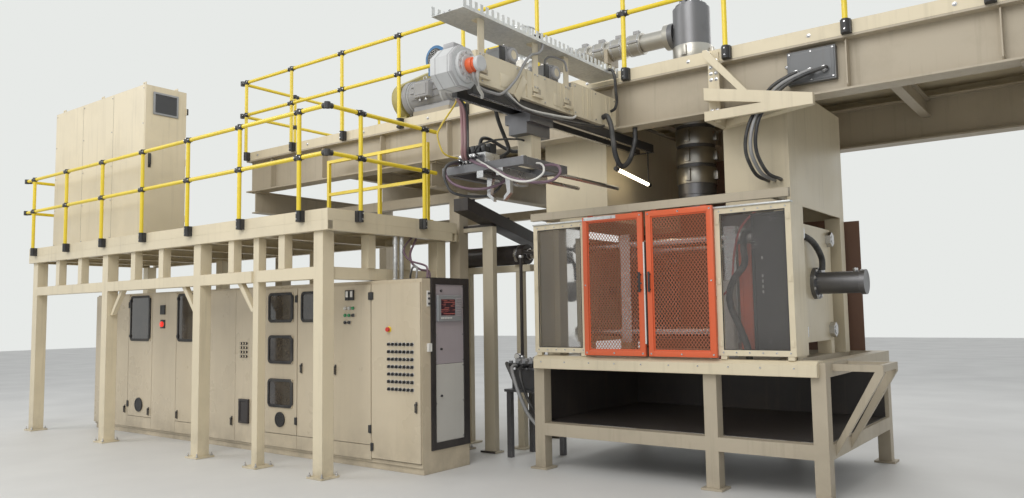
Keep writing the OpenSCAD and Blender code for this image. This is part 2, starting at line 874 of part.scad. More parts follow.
module stop_button() {
  color(orange)
    translate([knob_x0, row_front, button_z]) {
      bar_y([0, -collar_h - 9, 0], button_r, collar_h + 2);
      bar_y([0, -collar_h - 27, 0], 24, 20);
    }
}

// Instrument rack in the end of the last cabinet
module rack_frame() {
  x1 = selector_x[1] + 14;
  x0 = selector_x[1] - rack_depth + 4;
  color(black)
    difference() {
      slab([x0, rack_y0, rack_z0], [x1, rack_y1, row_h + 12]);
      slab([x0 + 30, rack_y0 + 70, 310], [x1 + 1, rack_y1 - 90, row_h - 60]);
    }
}

module rack_panels() {
  x1 = selector_x[1] + 2;
  y0 = rack_y0 + 70 + seam;
  y1 = rack_y1 - 90 - seam;
  color(grey) {
    slab([x1 - 4, y0, 1140], [x1, y1, row_h - 60 - seam]);
    slab([x1 - 4, y0, 312], [x1, y1, 1137]);
    // Operator terminal with its screen and keys
    difference() {
      slab([x1 + seam, y0 + 20, 1600], [x1 + 26, y1 - 60, 1880]);
      slab([x1 + 20, y0 + 70, 1660], [x1 + 27, y1 - 170, 1840]);
    }
    for (j = [0 : 7]) slab([x1 + 25, y1 - 145, 1650 + j * 26], [x1 + 29, y1 - 80, 1668 + j * 26]);
    for (z = [800, 1300, 1930]) bar_x([x1, y0 + 90, z], 11, 16);
  }
}

// Clamp base

base_x0 = 1560;
base_x1 = 4650;
base_y0 = 1620;
base_y1 = 4030;
base_w = 130;
base_low = 360;
base_top = 1200;
sill_top = base_top + 15;
rail_drop = 130;

module base_ring(z, h) {
  slab([base_x0, base_y0, z], [base_x1, base_y0 + base_w, z + h]);
  slab([base_x0, base_y1 - base_w, z], [base_x1, base_y1, z + h]);
  for (x = [base_x0, base_x1 - base_w])
    slab([x, base_y0 + base_w + seam, z], [x + base_w, base_y1 - base_w - seam, z + h]);
}

module base_leg(x, y) {
  slab([x, y, foot_t + seam], [x + base_w, y + base_w, base_low - seam]);
  slab([x - 40, y - 40, 0], [x + base_w + 40, y + base_w + 40, foot_t]);
  slab([x, y, base_low + rail_drop + seam], [x + base_w, y + base_w, base_top - rail_drop - seam]);
}

module press_base() {
  color(tan_paint) {
    base_ring(base_low, rail_drop);
    base_ring(base_top - rail_drop, rail_drop);
    // Legs between the floor, the low ring and the upper ring; the wide front bay has none
    for (x = [base_x0, base_x0 + 1000, base_x1 - 1000 - base_w, base_x1 - base_w])
      base_leg(x, base_y1 - base_w);
    for (x = [base_x0, base_x1 - 1000 - base_w, base_x1 - base_w]) base_leg(x, base_y0);
    // Rails under the end plates
    for (x = [plate_left_x - 30, plate_right_x - 30])
      slab([x, base_y0 + base_w + seam, base_top - rail_drop], [x + plate_t_end + 60,
        base_y1 - base_w - seam, base_top]);
    // Sloping brackets at the right end, and the bar that joins them
    for (y = [base_y0 + 200, base_y0 + 700])
      raise_y(y, 60)
        translate([base_x1 + seam, 0])
          polygon([[0, base_low + 20], [420, base_top - 100], [420, base_top - 20], [0, base_top - 20],
            [0, base_top - 80], [350, base_top - 80], [0, base_low + 120]]);
    slab([base_x1 + 380, base_y0 + 259, base_top - 80], [base_x1 + 420, base_y0 + 701, base_top - 20]);
  }
  flash_pan();
}

pan_t = 6;

// Pan under the clamp that catches flash, closed at its back and left
module flash_pan() {
  x0 = base_x0 + 40;
  y0 = base_y0 + base_w + 5;
  y1 = base_y1 - base_w - 5;
  z0 = base_low + rail_drop + seam;
  z1 = base_top - rail_drop - seam;
  color(black) {
    slab([x0, y0, z0], [base_x1 - 40, y1, z0 + pan_t]);
    slab([x0, y1 - pan_t, z0], [base_x1 - 40, y1, z1]);
    slab([x0, y0, z0], [x0 + pan_t, y1, z1]);
  }
}

module press_sill() {
  // Folded cover along the front of the base
  y = base_y0 - seam;
  z = base_top - rail_drop;
  color(cream)
    raise_x(base_x0 + 40, base_x1 - base_x0 - 95)
      polygon([[y, z], [y - 6, z], [y - 6 - 60, z + 8], [y - 6 - 60, base_top - 20], [y - 20, sill_top],
        [y + 115, sill_top], [y + 115, base_top + seam], [y, base_top + seam]]);
}

// Clamp

plate_t_end = 100;
bar_x0 = 1700;
bar_x1 = 4300;
plate_left_x = 1760;
plate_right_x = 2 * clamp_x - plate_left_x - plate_t_end;
platen_left_x = clamp_x - daylight / 2 - platen_t;
platen_right_x = clamp_x + daylight / 2;
bar_r = bar_d / 2;
rod_r = rod_d / 2;
cyl_l = platen_stroke + 200;
cyl_r = bore_d / 2 + 30;

module bar_holes(x0, l, r) {
  for (sy = [-1, 1], sz = [-1, 1])
    bar_x([x0 - 1, clamp_y + sy * bar_pitch_y / 2, clamp_z + sz * bar_pitch_z / 2], r, l + 2);
}

module plate_body(x, w, h, t) {
  slab([x, clamp_y - w / 2, clamp_z - h / 2], [x + t, clamp_y + w / 2, clamp_z + h / 2]);
}

module end_plates() {
  color(cream)
    for (x = [plate_left_x, plate_right_x])
      difference() {
        union() {
          plate_body(x, platen_w, platen_h, plate_t_end);
          for (s = [-1, 1])
            slab([x - 20, clamp_y + s * 480 - 60, base_top + seam],
              [x + plate_t_end + 20, clamp_y + s * 480 + 60, clamp_z - platen_h / 2 + 1]);
        }
        bar_holes(x, plate_t_end, bar_r + fit_gap);
        bar_x([x - 1, clamp_y, clamp_z], rod_r + 12, plate_t_end + 2);
      }
}

module tie_bars() {
  color(steel)
    for (sy = [-1, 1], sz = [-1, 1])
      translate([0, clamp_y + sy * bar_pitch_y / 2, clamp_z + sz * bar_pitch_z / 2]) {
        bar_x([bar_x0, 0, 0], bar_r, bar_x1 - bar_x0);
        for (x = [bar_x0 + 5, bar_x1 - 5 - (plate_left_x - bar_x0 - 5 - seam)])
          translate([x, 0, 0]) rotate([0, 90, 0])
            difference() {
              cylinder(h = plate_left_x - bar_x0 - 5 - seam, r = bar_r + 35, $fn = 6);
              translate([0, 0, -1]) cylinder(h = 100, r = bar_r - 2);
            }
      }
}

module cylinder_left() {
  x1 = plate_left_x - seam;
  difference() {
    union() {
      bar_x([x1 - cyl_l, clamp_y, clamp_z], cyl_r, cyl_l);
      bar_x([x1 - 40, clamp_y, clamp_z], cyl_r + 50, 40);
      bar_x([x1 - cyl_l, clamp_y, clamp_z], cyl_r + 14, 50);
    }
    bar_x([x1 - cyl_l + 40, clamp_y, clamp_z], bore_d / 2, cyl_l - 100);
    bar_x([x1 - 70, clamp_y, clamp_z], rod_r + fit_gap, 80);
  }
}

module mirror_clamp() {
  translate([2 * clamp_x, 0, 0]) mirror([1, 0, 0]) children();
}

module clamp_cylinders() {
  color(dark) {
    cylinder_left();
    mirror_clamp() cylinder_left();
  }
}

piston_t = 50;

module platen_with_rod() {
  x = platen_left_x;
  difference() {
    union() {
      plate_body(x, platen_w, platen_h, platen_t);
      for (sy = [-1, 1], sz = [-1, 1])
        bar_x([x - 40, clamp_y + sy * bar_pitch_y / 2, clamp_z + sz * bar_pitch_z / 2],
          bar_r + 28, 60);
    }
    bar_holes(x - 41, platen_t + 42, bar_r + fit_gap);
    for (sy = [-1, 1], sz = [-1, 1])
      bar_x([x + platen_t - 60, clamp_y + sy * mould_pitch / 2, clamp_z + sz * mould_pitch / 2],
        mould_hole_r, 61);
  }
  // Rod and piston of the clamp cylinder
  bar_x([plate_left_x - cyl_l + 60, clamp_y, clamp_z], rod_r,
    x - plate_left_x + cyl_l - 60 - 40 - seam);
  bar_x([x - 40 - seam, clamp_y, clamp_z], rod_r + 40, 40);
  bar_x([plate_left_x - cyl_l + 60, clamp_y, clamp_z], bore_d / 2 - fit_gap, piston_t);
}

module platen_left() {
  color(steel) platen_with_rod();
}
module platen_right() {
  color(steel) mirror_clamp() platen_with_rod();
}

// Guards in front of the clamp

left_win = [1615, 2275];
right_win = [3705, 4425];
pane_t = 8;

module window_ring(x) {
  difference() {
    slab([x[0], guard_y, guard_z], [x[1], guard_y + guard_t, guard_z + guard_h]);
    slab([x[0] + guard_bar, guard_y - 1, guard_z + guard_bar],
      [x[1] - guard_bar, guard_y + guard_t + 1, guard_z + guard_h - guard_bar]);
    slab([x[0] + guard_bar - 14, guard_y + 20, guard_z + guard_bar - 14],
      [x[1] - guard_bar + 14, guard_y + guard_t + 1, guard_z + guard_h - guard_bar + 14]);
  }
}

module guard_frame() {
  color(cream) {
    window_ring(left_win);
    window_ring(right_win);
    // Studs that stand the windows on the sill
    for (x = [left_win[0] + 20, left_win[1] - 80, right_win[0] + 20, right_win[1] - 80])
      slab([x, guard_y + 5, sill_top + seam], [x + 60, guard_y + guard_t - 5, guard_z - seam]);
    // End wall at the left and right of the clamp
    for (x = [left_win[0], right_win[1] - 30])
      slab([x, guard_y + guard_t + seam, guard_z], [x + 30, hood_y0 - seam, guard_z + guard_h]);
  }
  // Sheet that closes the back of the clamp
  color(dark)
    slab([left_win[0], base_y1 - 70, base_top + seam],
      [right_win[1], base_y1 - 64, hood_low - 5]);
}

module window_panes() {
  color([0.75, 0.78, 0.78, 0.4])
    for (x = [left_win, right_win])
      slab([x[0] + guard_bar - 14 + seam, guard_y + 20 + seam, guard_z + guard_bar - 14 + seam],
        [x[1] - guard_bar + 14 - seam, guard_y + 20 + pane_t, guard_z + guard_h - guard_bar + 14 - seam]);
}

gate_y = guard_y - 2 - gate_t;
gate_z = guard_z - 20;
gate_left_x = 2270;
gate_right_x = 3005;
mesh_nx = 7;
mesh_nz = 14;

module gate_mesh(x) {
  // Expanded metal: a sheet with rows of diamond holes
  b = 55;
  w = (gate_w - 2 * b) / mesh_nx;
  h = (gate_h - 2 * b) / mesh_nz;
  raise_y(gate_y + 16, 6)
    difference() {
      translate([x + b - 8, gate_z + b - 8]) square([gate_w - 2 * b + 16, gate_h - 2 * b + 16]);
      for (i = [0 : mesh_nx - 1], j = [0 : mesh_nz - 1])
        translate([x + b + (i + 0.5) * w, gate_z + b + (j + 0.5) * h])
          polygon([[-w * 0.42, 0], [0, -h * 0.42], [w * 0.42, 0], [0, h * 0.42]]);
    }
}

module sliding_gate(x) {
  b = 55;
  difference() {
    slab([x, gate_y, gate_z], [x + gate_w, gate_y + gate_t, gate_z + gate_h]);
    slab([x + b, gate_y - 1, gate_z + b], [x + gate_w - b, gate_y + gate_t + 1, gate_z + gate_h - b]);
  }
  gate_mesh(x);
  // Hangers that run in the track
  for (dx = [90, gate_w - 90])
    slab([x + dx - 30, hanger_y, gate_z + gate_h - 1], [x + dx + 30, hanger_y + hanger_t, hanger_top]);
}

module gate_left() {
  color(orange) sliding_gate(gate_left_x);
  // Rubber safety edge
  color(black) slab([gate_left_x + gate_w + seam, gate_y + 4, gate_z + 120],
    [gate_left_x + gate_w + 24, gate_y + gate_t - 4, gate_z + gate_h - 300]);
}
module gate_right() {
  color(orange) sliding_gate(gate_right_x);
}

hanger_t = 16;
hanger_y = gate_y + 12;
track_z = guard_z + guard_h + 47;
hanger_top = track_z + 48;

module gate_track() {
  // Inverted channel over both gates, with the slot downwards
  z = track_z;
  color(tan_paint) {
    difference() {
      slab([left_win[0], gate_y - 8, z], [right_win[1], gate_y + gate_t + 8, z + 80]);
      slab([left_win[0] - 1, hanger_y - seam, z - 1],
        [right_win[1] + 1, hanger_y + hanger_t + seam, hanger_top + seam]);
    }
    // Brackets back to the clamp's hoods
    for (x = [left_win[0] + 60, right_win[1] - 200])
      slab([x, gate_y + gate_t + 8 + seam, z + 10], [x + 60, hood_y0 - seam, z + 70]);
  }
}

// Extruder

barrel_y = clamp_y;
axis_z = upper_h + barrel_z;
gear_x0 = -500;
gear_x1 = 250;
motor_y = 2120;
motor_z = upper_h + 420;
motor_r = 210;
motor_foot = [-560, 60];
barrel_r = barrel_d / 2;
barrel_x0 = gear_x1 + 99 + seam;
barrel_x1 = clamp_x - head_d / 2 - 40;
throat_x = barrel_x0 + 200;
band_x0 = barrel_x0 + 420;
band_l = 180;
band_pitch = 240;
saddle_t = 50;

module extruder_stand() {
  color(tan_paint) {
    // Bed under the gearbox and motor
    slab([gear_x0 - 400, motor_y - 260, upper_h + seam], [gear_x1 + 110, barrel_y + 330, upper_h + 90]);
    slab([gear_x0 + 40, barrel_y - 280, upper_h + 90 + seam],
      [gear_x1 - 40, barrel_y + 280, upper_h + 240]);
    slab([motor_foot[0], motor_y - 170, upper_h + 90 + seam],
      [motor_foot[1], motor_y + 170, motor_z - motor_r - 24 - seam]);
    // Barrel saddles in the gaps between the heater bands
    for (k = [0, 5])
      translate([band_x0 + k * band_pitch - (band_pitch - band_l) / 2, 0, 0])
        difference() {
          slab([-saddle_t / 2, barrel_y - 130, upper_h + seam], [saddle_t / 2, barrel_y + 130, axis_z - 10]);
          bar_x([-saddle_t, barrel_y, axis_z], barrel_r + seam, 2 * saddle_t);
          for (s = [-1, 1])
            slab([-saddle_t, barrel_y + s * 100 - 45, upper_h + 120], [saddle_t,
              barrel_y + s * 100 + 45, axis_z - 180]);
        }
  }
}

module drive_motor() {
  color(grey) {
    bar_x([-640, motor_y, motor_z], motor_r, 660);
    bar_x([20, motor_y, motor_z], motor_r - 30, 40);
    slab([motor_foot[0], motor_y - 150, motor_z - motor_r - 24],
      [motor_foot[1], motor_y + 150, motor_z - motor_r + 42]);
    bar_x([-720, motor_y, motor_z], motor_r + 20, 80);
    bar_x([-760, motor_y, motor_z], 28, 41);
    for (i = [-5 : 5])
      rotate_about_motor(i * 22.5)
        slab([-560, motor_y - 5, motor_z + motor_r - 5], [-80, motor_y + 5, motor_z + motor_r + 14]);
  }
}

module rotate_about_motor(a) {
  translate([0, motor_y, motor_z]) rotate([a, 0, 0]) translate([0, -motor_y, -motor_z]) children();
}

module motor_blower() {
  bz = motor_z + motor_r + 14 + seam;
  color(blue) {
    difference() {
      union() {
        bar_y([-180, motor_y - 150, bz + 200], 165, 230);
        slab([-330, motor_y - 120, bz], [-60, motor_y + 50, bz + 200]);
      }
      bar_y([-180, motor_y - 151, bz + 200], 115, 210);
    }
    // Motor of the fan behind the scroll
    bar_y([-180, motor_y + 80, bz + 200], 80, 170);
  }
}

module belt_guard() {
  color(cream) {
    raise_x(-900, 130)
      hull() {
        translate([motor_y, motor_z]) circle(r = 230);
        translate([barrel_y - 100, axis_z - 60]) circle(r = 330);
      }
    slab([-890, motor_y - 60, upper_h + 90 + seam], [-790, motor_y + 60, motor_z - 200]);
  }
}

shank_r = 40;
shank_in = 40;

module gearbox() {
  color(tan_paint) {
    difference() {
      slab([gear_x0, barrel_y - 260, upper_h + 240 + seam], [gear_x1, barrel_y + 260, axis_z + 260]);
      bar_x([gear_x1 - shank_in - 20, barrel_y, axis_z], shank_r + fit_gap, shank_in + 30);
    }
    bar_x([gear_x0 - 40, barrel_y, axis_z], 170, 41);
    bar_x([gear_x0 - 268, barrel_y - 100, axis_z - 60], 40, 270);
    for (s = [-1, 1])
      slab([gear_x0 + 60, barrel_y + s * 268 - 8, upper_h + 300], [gear_x1 - 60, barrel_y + s * 268 + 8,
        axis_z + 180]);
    difference() {
      bar_x([gear_x1 - 1, barrel_y, axis_z], 150, 100);
      bar_x([gear_x1 - 2, barrel_y, axis_z], 58, 110);
    }
  }
}

module extruder_barrel() {
  color(steel)
    difference() {
      union() {
        bar_x([barrel_x0, barrel_y, axis_z], barrel_r, barrel_x1 - barrel_x0 - seam);
        bar_x([barrel_x0, barrel_y, axis_z], 150, 50);
        slab([throat_x - 130, barrel_y - 130, axis_z - 115],
          [throat_x + 130, barrel_y + 130, axis_z + 130]);
        // Adapter flange at the head
        bar_x([barrel_x1 - 60, barrel_y, axis_z], 150, 60 - seam);
      }
      bar_x([barrel_x0 - 1, barrel_y, axis_z], screw_d / 2, barrel_x1 - barrel_x0 + 2);
      bar_z([throat_x, barrel_y, axis_z], 55, 200);
    }
  // Heater bands along the barrel
  color(grey)
    for (i = [0 : 6])
      difference() {
        bar_x([band_x0 + i * band_pitch, barrel_y, axis_z], barrel_r + 22, band_l);
        bar_x([band_x0 + i * band_pitch - 1, barrel_y, axis_z], barrel_r + seam, band_l + 2);
      }
}

module extruder_screw() {
  root = screw_d * 0.32;
  x0 = gear_x1 - shank_in;
  l = barrel_x1 - 90 - x0;
  color(steel) {
    bar_x([x0, barrel_y, axis_z], root, l);
    bar_x([x0, barrel_y, axis_z], shank_r, 60);
    // Flight of the screw, one turn for each diameter
    translate([x0 + 260, barrel_y, axis_z]) rotate([0, 90, 0])
      linear_extrude(height = l - 300, twist = -360 * (l - 300) / screw_d, slices = 130)
        translate([-6, 0]) square([12, screw_d / 2 - 0.6]);
    translate([x0 + l - seam, barrel_y, axis_z]) rotate([0, 90, 0])
      cylinder(h = 50, r1 = root, r2 = 4);
  }
}

module feed_hopper() {
  color(pale)
    translate([throat_x, barrel_y, axis_z + 130 + seam])
      rotate_extrude()
        polygon([[55, 0], [110, 0], [110, 14], [66, 14], [66, 70], [250, 290], [250, 420], [262, 420],
          [262, 430], [242, 430], [242, 294], [58, 72], [55, 72]]);
}

// Parison head

head_low = 2960;
head_top = axis_z + 260;
head_r = head_d / 2;
die_r = 150;
pin_r = 45;

module parison_head() {
  color(dark)
    difference() {
      union() {
        bar_z([clamp_x, clamp_y, head_low], head_r, head_top - head_low);
        bar_z([clamp_x, clamp_y, upper_h + seam], head_r + 110, 60);
        bar_z([clamp_x, clamp_y, head_low - 160], die_r, 161);
        bar_z([clamp_x, clamp_y, head_low - 60], die_r + 50, 61);
        bar_x([barrel_x1, barrel_y, axis_z], 150, 60);
      }
      // Flow channel and the bore that guides the pin
      bar_z([clamp_x, clamp_y, head_low - 161], 100, 700);
      bar_z([clamp_x, clamp_y, head_low + 500], pin_r + fit_gap, head_top - head_low);
      bar_x([barrel_x1 - 1, barrel_y, axis_z], screw_d / 2, clamp_x - barrel_x1 - pin_r - 30);
    }
}

cyl_top_l = 360;

module head_cylinder() {
  z = head_top + seam;
  color(dark)
    difference() {
      union() {
        bar_z([clamp_x, clamp_y, z], 130, cyl_top_l);
        bar_z([clamp_x, clamp_y, z], 180, 40);
        bar_z([clamp_x, clamp_y, z + cyl_top_l - 40], 150, 40);
      }
      bar_z([clamp_x, clamp_y, z - 1], pin_r + fit_gap, 70);
      bar_z([clamp_x, clamp_y, z + 60], 90, cyl_top_l - 110);
    }
}

module die_pin() {
  z1 = head_top + 150;
  color(steel) {
    bar_z([clamp_x, clamp_y, head_low - 140], pin_r, z1 - head_low + 140);
    bar_z([clamp_x, clamp_y, z1], 90 - fit_gap, 60);
    // Mandrel that forms the inside of the parison
    translate([clamp_x, clamp_y, head_low - 150]) cylinder(h = 40, r = 88);
    translate([clamp_x, clamp_y, head_low - 110]) cylinder(h = 120, r1 = 88, r2 = pin_r);
  }
}

// Take-out robot

beam_y0 = upper_front - beam_reach;
beam_y1 = upper_front - seam;
beam_x1 = beam_x + beam_w;
beam_z = upper_h - beam_drop;
tray_z = upper_h - 75;
tray_y0 = -900;
rail_low = beam_z - 90;
slide_y0 = beam_y0 + 5;
slide_y1 = 2500;

module robot_beam() {
  box_y = 765;
  color(cream) {
    difference() {
      slab([beam_x, beam_y0, beam_z], [beam_x1, box_y, beam_z + beam_h]);
      for (y = [beam_y0 + 330, beam_y0 + 1130])
        slab([beam_x1 - 40, y, beam_z + 50], [beam_x1 + 1, y + 110, beam_z + 130]);
    }
    slab([beam_x - 10, box_y + seam, beam_z], [beam_x1 + 10, beam_y1, beam_z + 320]);
    // Posts that carry the tray
    for (y = [-655, 110, 610]) {
      slab([beam_x1 - 1, y, beam_z + 90], [beam_x1 + 12, y + 75, tray_z - seam]);
      slab([beam_x1 - 60, y, tray_z - 14], [beam_x1 + 12, y + 75, tray_z - seam]);
    }
  }
  // Gearboxes of the drive on top of the beam
  color(grey)
    for (y = [-260, 400]) {
      slab([beam_x + 70, y, beam_z + beam_h + seam], [beam_x1 - 30, y + 170, beam_z + beam_h + 150]);
      bar_x([beam_x1 - 30, y + 85, beam_z + beam_h + 80], 62, 40);
    }
  // Two guide rails under the beam, and the bar that joins them to the girder
  color(dark) {
    for (x = [beam_x + 40, beam_x1 - 90])
      slab([x, slide_y0, rail_low], [x + 50, slide_y1, beam_z - seam]);
    slab([beam_x + 20, slide_y1 - 60, rail_low - 6], [beam_x1 - 20, slide_y1 - 20, rail_low - seam]);
  }
}

module robot_servo() {
  // Eight-sided housing in front of the beam's near end
  sy = beam_y0 - 165;
  sz = beam_z + 75;
  a = 160;
  x0 = beam_x + 95;
  color(grey) {
    difference() {
      translate([x0, sy, sz]) rotate([0, 90, 0]) rotate(22.5)
        cylinder(h = 230, r = a / cos(22.5), $fn = 8);
      translate([x0 - 1, sy, sz]) rotate([0, 90, 0]) cylinder(h = 12, r = 95);
    }
    bar_x([x0 + 230, sy, sz], 125, 28);
    bar_x([x0 + 258, sy, sz], 45, 100);
    bar_x([x0 + 358, sy, sz], 60, 38);
    // Plate on the beam's end
    slab([x0 + 10, sy + 100, beam_z + 4], [beam_x1 - 5, beam_y0 - seam, sz + 110]);
  }
}

module cable_tray() {
  x0 = 2395;
  y1 = 1560;
  lip = 90;
  n = 34;
  color(pale)
    difference() {
      union() {
        slab([x0, tray_y0, tray_z], [beam_x1 + 60, y1, tray_z + 5]);
        slab([beam_x1 + 56, tray_y0, tray_z], [beam_x1 + 60, y1, tray_z + lip]);
        slab([x0, tray_y0, tray_z], [x0 + 4, y1, tray_z + lip]);
      }
      // Comb slots in both lips
      for (i = [0 : n - 1])
        slab([x0 - 1, tray_y0 + 40 + i * 71, tray_z + 30], [beam_x1 + 61, tray_y0 + 75 + i * 71,
          tray_z + lip + 1]);
    }
}

carriage_y = 80;
carriage_l = 360;
carriage_z = rail_low - 190;
arm_x = (beam_x + beam_x1) / 2 - arm_w / 2;
arm_y = carriage_y + 100;
arm_low = rail_low - 490;
arm_gap = 0.3;

module robot_carriage() {
  color(dark) {
    difference() {
      slab([beam_x + 10, carriage_y, carriage_z], [beam_x1 - 10, carriage_y + carriage_l,
        rail_low - 0.3]);
      slab([arm_x - arm_gap, arm_y - arm_gap, carriage_z - 1],
        [arm_x + arm_w + arm_gap, arm_y + arm_w + arm_gap, rail_low + 1]);
      slab([beam_x + 9, carriage_y - 1, carriage_z - 1], [beam_x + 50, carriage_y + carriage_l + 1,
        rail_low - 90]);
      slab([beam_x1 - 50, carriage_y - 1, carriage_z - 1], [beam_x1 - 9, carriage_y + carriage_l + 1,
        rail_low - 90]);
    }
  }
}

module robot_arm() {
  color(cream)
    difference() {
      slab([arm_x, arm_y, arm_low], [arm_x + arm_w, arm_y + arm_w, rail_low - 4]);
      bar_y([arm_x + arm_w / 2, arm_y - 1, arm_low + 90], 34, 20);
    }
}

tool_z = arm_low - 70;
tool_x0 = 1990;
tool_x1 = 2880;
tool_y0 = -330;
// Each finger is [place along the machine, length]
fingers = [[2080, 400], [2400, 940], [2700, 1215]];

module tooling_frame() {
  bar_w = 60;
  y1 = arm_y + arm_w;
  z1 = arm_low - seam;
  color(dark) {
    slab([tool_x0, y1 - 90, tool_z], [tool_x1, y1, z1]);
    slab([tool_x0, tool_y0, tool_z], [tool_x1, tool_y0 + bar_w, z1]);
    for (x = [tool_x0, arm_x + 45, tool_x1 - bar_w])
      slab([x, tool_y0 + bar_w + seam, tool_z], [x + bar_w, y1 - 90 - seam, z1]);
    // Valve block and its stack on the frame
    slab([tool_x0 + 120, tool_y0 + 90, z1 + seam], [tool_x0 + 420, tool_y0 + 290, z1 + 110]);
    for (i = [0 : 4]) bar_z([tool_x0 + 150 + i * 60, tool_y0 + 190, z1 + 109], 20, 90);
    slab([tool_x0 + 60, tool_y0 + 330, z1 + seam], [tool_x0 + 330, tool_y0 + 500, z1 + 60]);
    // Fingers towards the clamp, each with its clamp sleeve
    for (f = fingers) {
      bar_y([f[0], y1 - 1, tool_z + 35], 18, f[1]);
      bar_y([f[0], y1 - 1, tool_z + 35], 27, 60);
    }
  }
}

jaw_w = 70;
jaw_gap = 140;
jaw_x = arm_x + arm_w / 2;

module gripper_jaw(side) {
  x = jaw_x + side * (jaw_gap / 2 + jaw_w / 2);
  z1 = tool_z - seam;
  slab([x - jaw_w / 2, tool_y0, z1 - 60], [x + jaw_w / 2, arm_y + arm_w, z1]);
  raise_y(tool_y0 + 120, 40)
    polygon([[x - side * 35, z1 - 59], [x + side * 20, z1 - 59], [x + side * 20, z1 - 200],
      [x - side * 50, z1 - 260], [x - side * 50, z1 - 225], [x - side * 15, z1 - 190]]);
}

module gripper_left() {
  color(steel) gripper_jaw(-1);
}
module gripper_right() {
  color(steel) gripper_jaw(1);
}

// Hydraulics at the clamp's left

stand_top = 1130;

module valve_stand() {
  x0 = 900;
  y0 = 1980;
  color(dark) {
    for (x = [x0, x0 + 440], y = [y0, y0 + 440])
      slab([x, y, 0], [x + 60, y + 60, 760 - seam]);
    slab([x0 - 20, y0 - 20, 760], [x0 + 520, y0 + 520, 790]);
    slab([x0 + 40, y0 + 60, 790 + seam], [x0 + 460, y0 + 440, 1010]);
    for (i = [0 : 3])
      slab([x0 + 60 + i * 100, y0 + 100, 1010 + seam], [x0 + 130 + i * 100, y0 + 400, stand_top]);
    for (i = [0 : 3], s = [0, 1])
      bar_y([x0 + 95 + i * 100, s == 0 ? y0 + 20 : y0 + 400, 1070], 26, 80);
    // Pipe to the clamp's base
    bar_x([x0 + 429, y0 + 250, base_top - 100], 20, base_x0 - seam - x0 - 429);
  }
}

acc_x = [-300, 800];
acc_y = 2600;
acc_z = 2415;
acc_r = 125;
acc_pipe = [978, 2200];
acc_legs = [-180, 680];

// Bottle of the oil circuit, lying on a beam between two legs
module oil_accumulator() {
  beam_top = acc_z - acc_r - 5;
  color(black) {
    bar_x([acc_x[0], acc_y, acc_z], acc_r, acc_x[1] - acc_x[0]);
    translate([acc_x[0], acc_y, acc_z]) intersection() {
      sphere(r = acc_r);
      slab([-acc_r, -acc_r, -acc_r], [0.01, acc_r, acc_r]);
    }
    bar_x([acc_x[1] - 0.5, acc_y, acc_z], 60, 90);
    // Pipe along, forwards and down to the valve stand
    bar_x([acc_x[1] + 89, acc_y, acc_z], 20, acc_pipe[0] - acc_x[1] - 89);
    bar_y([acc_pipe[0], acc_pipe[1], acc_z], 20, acc_y - acc_pipe[1]);
    bar_z([acc_pipe[0], acc_pipe[1], stand_top + seam], 20, acc_z - stand_top - seam);
    for (y = [acc_y, acc_pipe[1]])
      slab([acc_pipe[0] - 28, y - 28, acc_z - 28], [acc_pipe[0] + 28, y + 28, acc_z + 28]);
  }
  color(cream) {
    slab([acc_x[0] - 40, acc_y - 45, beam_top - 85], [acc_x[1] + 60, acc_y + 45, beam_top]);
    for (x = acc_legs) {
      // Saddle under the bottle
      difference() {
        slab([x - 40, acc_y - 90, beam_top - 1], [x + 40, acc_y + 90, acc_z - 60]);
        bar_x([x - 50, acc_y, acc_z], acc_r - 1, 100);
      }
      slab([x - 50, acc_y - 40, foot_t], [x + 50, acc_y + 40, beam_top - 84]);
      slab([x - 110, acc_y - 110, 0], [x + 110, acc_y + 110, foot_t + 1]);
    }
  }
}

duct_x = 420;
duct_w = 220;
duct_h = 150;
// Each end of the duct is [depth position, height of the underside]
duct_front = [1620, 2900];
duct_back = [3900, 2360];
function duct_low(y) = duct_front[1]
  + (y - duct_front[0]) * (duct_back[1] - duct_front[1]) / (duct_back[0] - duct_front[0]);

module scrap_chute() {
  // Sloping dark duct from the upper structure down towards the clamp
  tie_y = column_front_y - 5;
  color(black) {
    raise_x(duct_x, duct_w)
      polygon([duct_front, duct_back, duct_back + [0, duct_h], duct_front + [0, duct_h]]);
    // Legs at both ends
    for (y = [tie_y, 3500]) {
      slab([duct_x + 30, y, foot_t], [duct_x + duct_w - 30, y + 80, duct_low(y) + 15]);
      slab([duct_x - 10, y - 40, 0], [duct_x + duct_w + 10, y + 120, foot_t + 1]);
    }
    // Tie to the upper deck's column
    slab([bearer_x[1] + column_w / 2 + seam, tie_y, 2700], [duct_x + 31, tie_y + 80, 2780]);
  }
}

// Hoses

// Smooth curve through the route's points
function mix(a, b, t) = a * (1 - t) + b * t;
function curve_at(p, i, t) =
  let (a = p[max(i - 1, 0)], b = p[i], c = p[i + 1], d = p[min(i + 2, len(p) - 1)])
  0.5 * (2 * b + (c - a) * t + (2 * a - 5 * b + 4 * c - d) * t * t
    + (3 * b - a - 3 * c + d) * t * t * t);
function smooth_route(p, n) =
  concat([for (i = [0 : len(p) - 2], k = [0 : n - 1]) curve_at(p, i, k / n)], [p[len(p) - 1]]);
function unit(v) = v / norm(v);
function heading(p, i) = unit(p[min(i + 1, len(p) - 1)] - p[max(i - 1, 0)]);
function side_of(t) = unit(cross(t, abs(t[2]) < 0.9 ? [0, 0, 1] : [1, 0, 0]));
// Side vectors carried along the route, so that the rings do not twist
function carried(p, i, s) =
  let (t = heading(p, i), u = unit(s - t * (s * t)))
  i == len(p) - 1 ? [u] : concat([u], carried(p, i + 1, u));

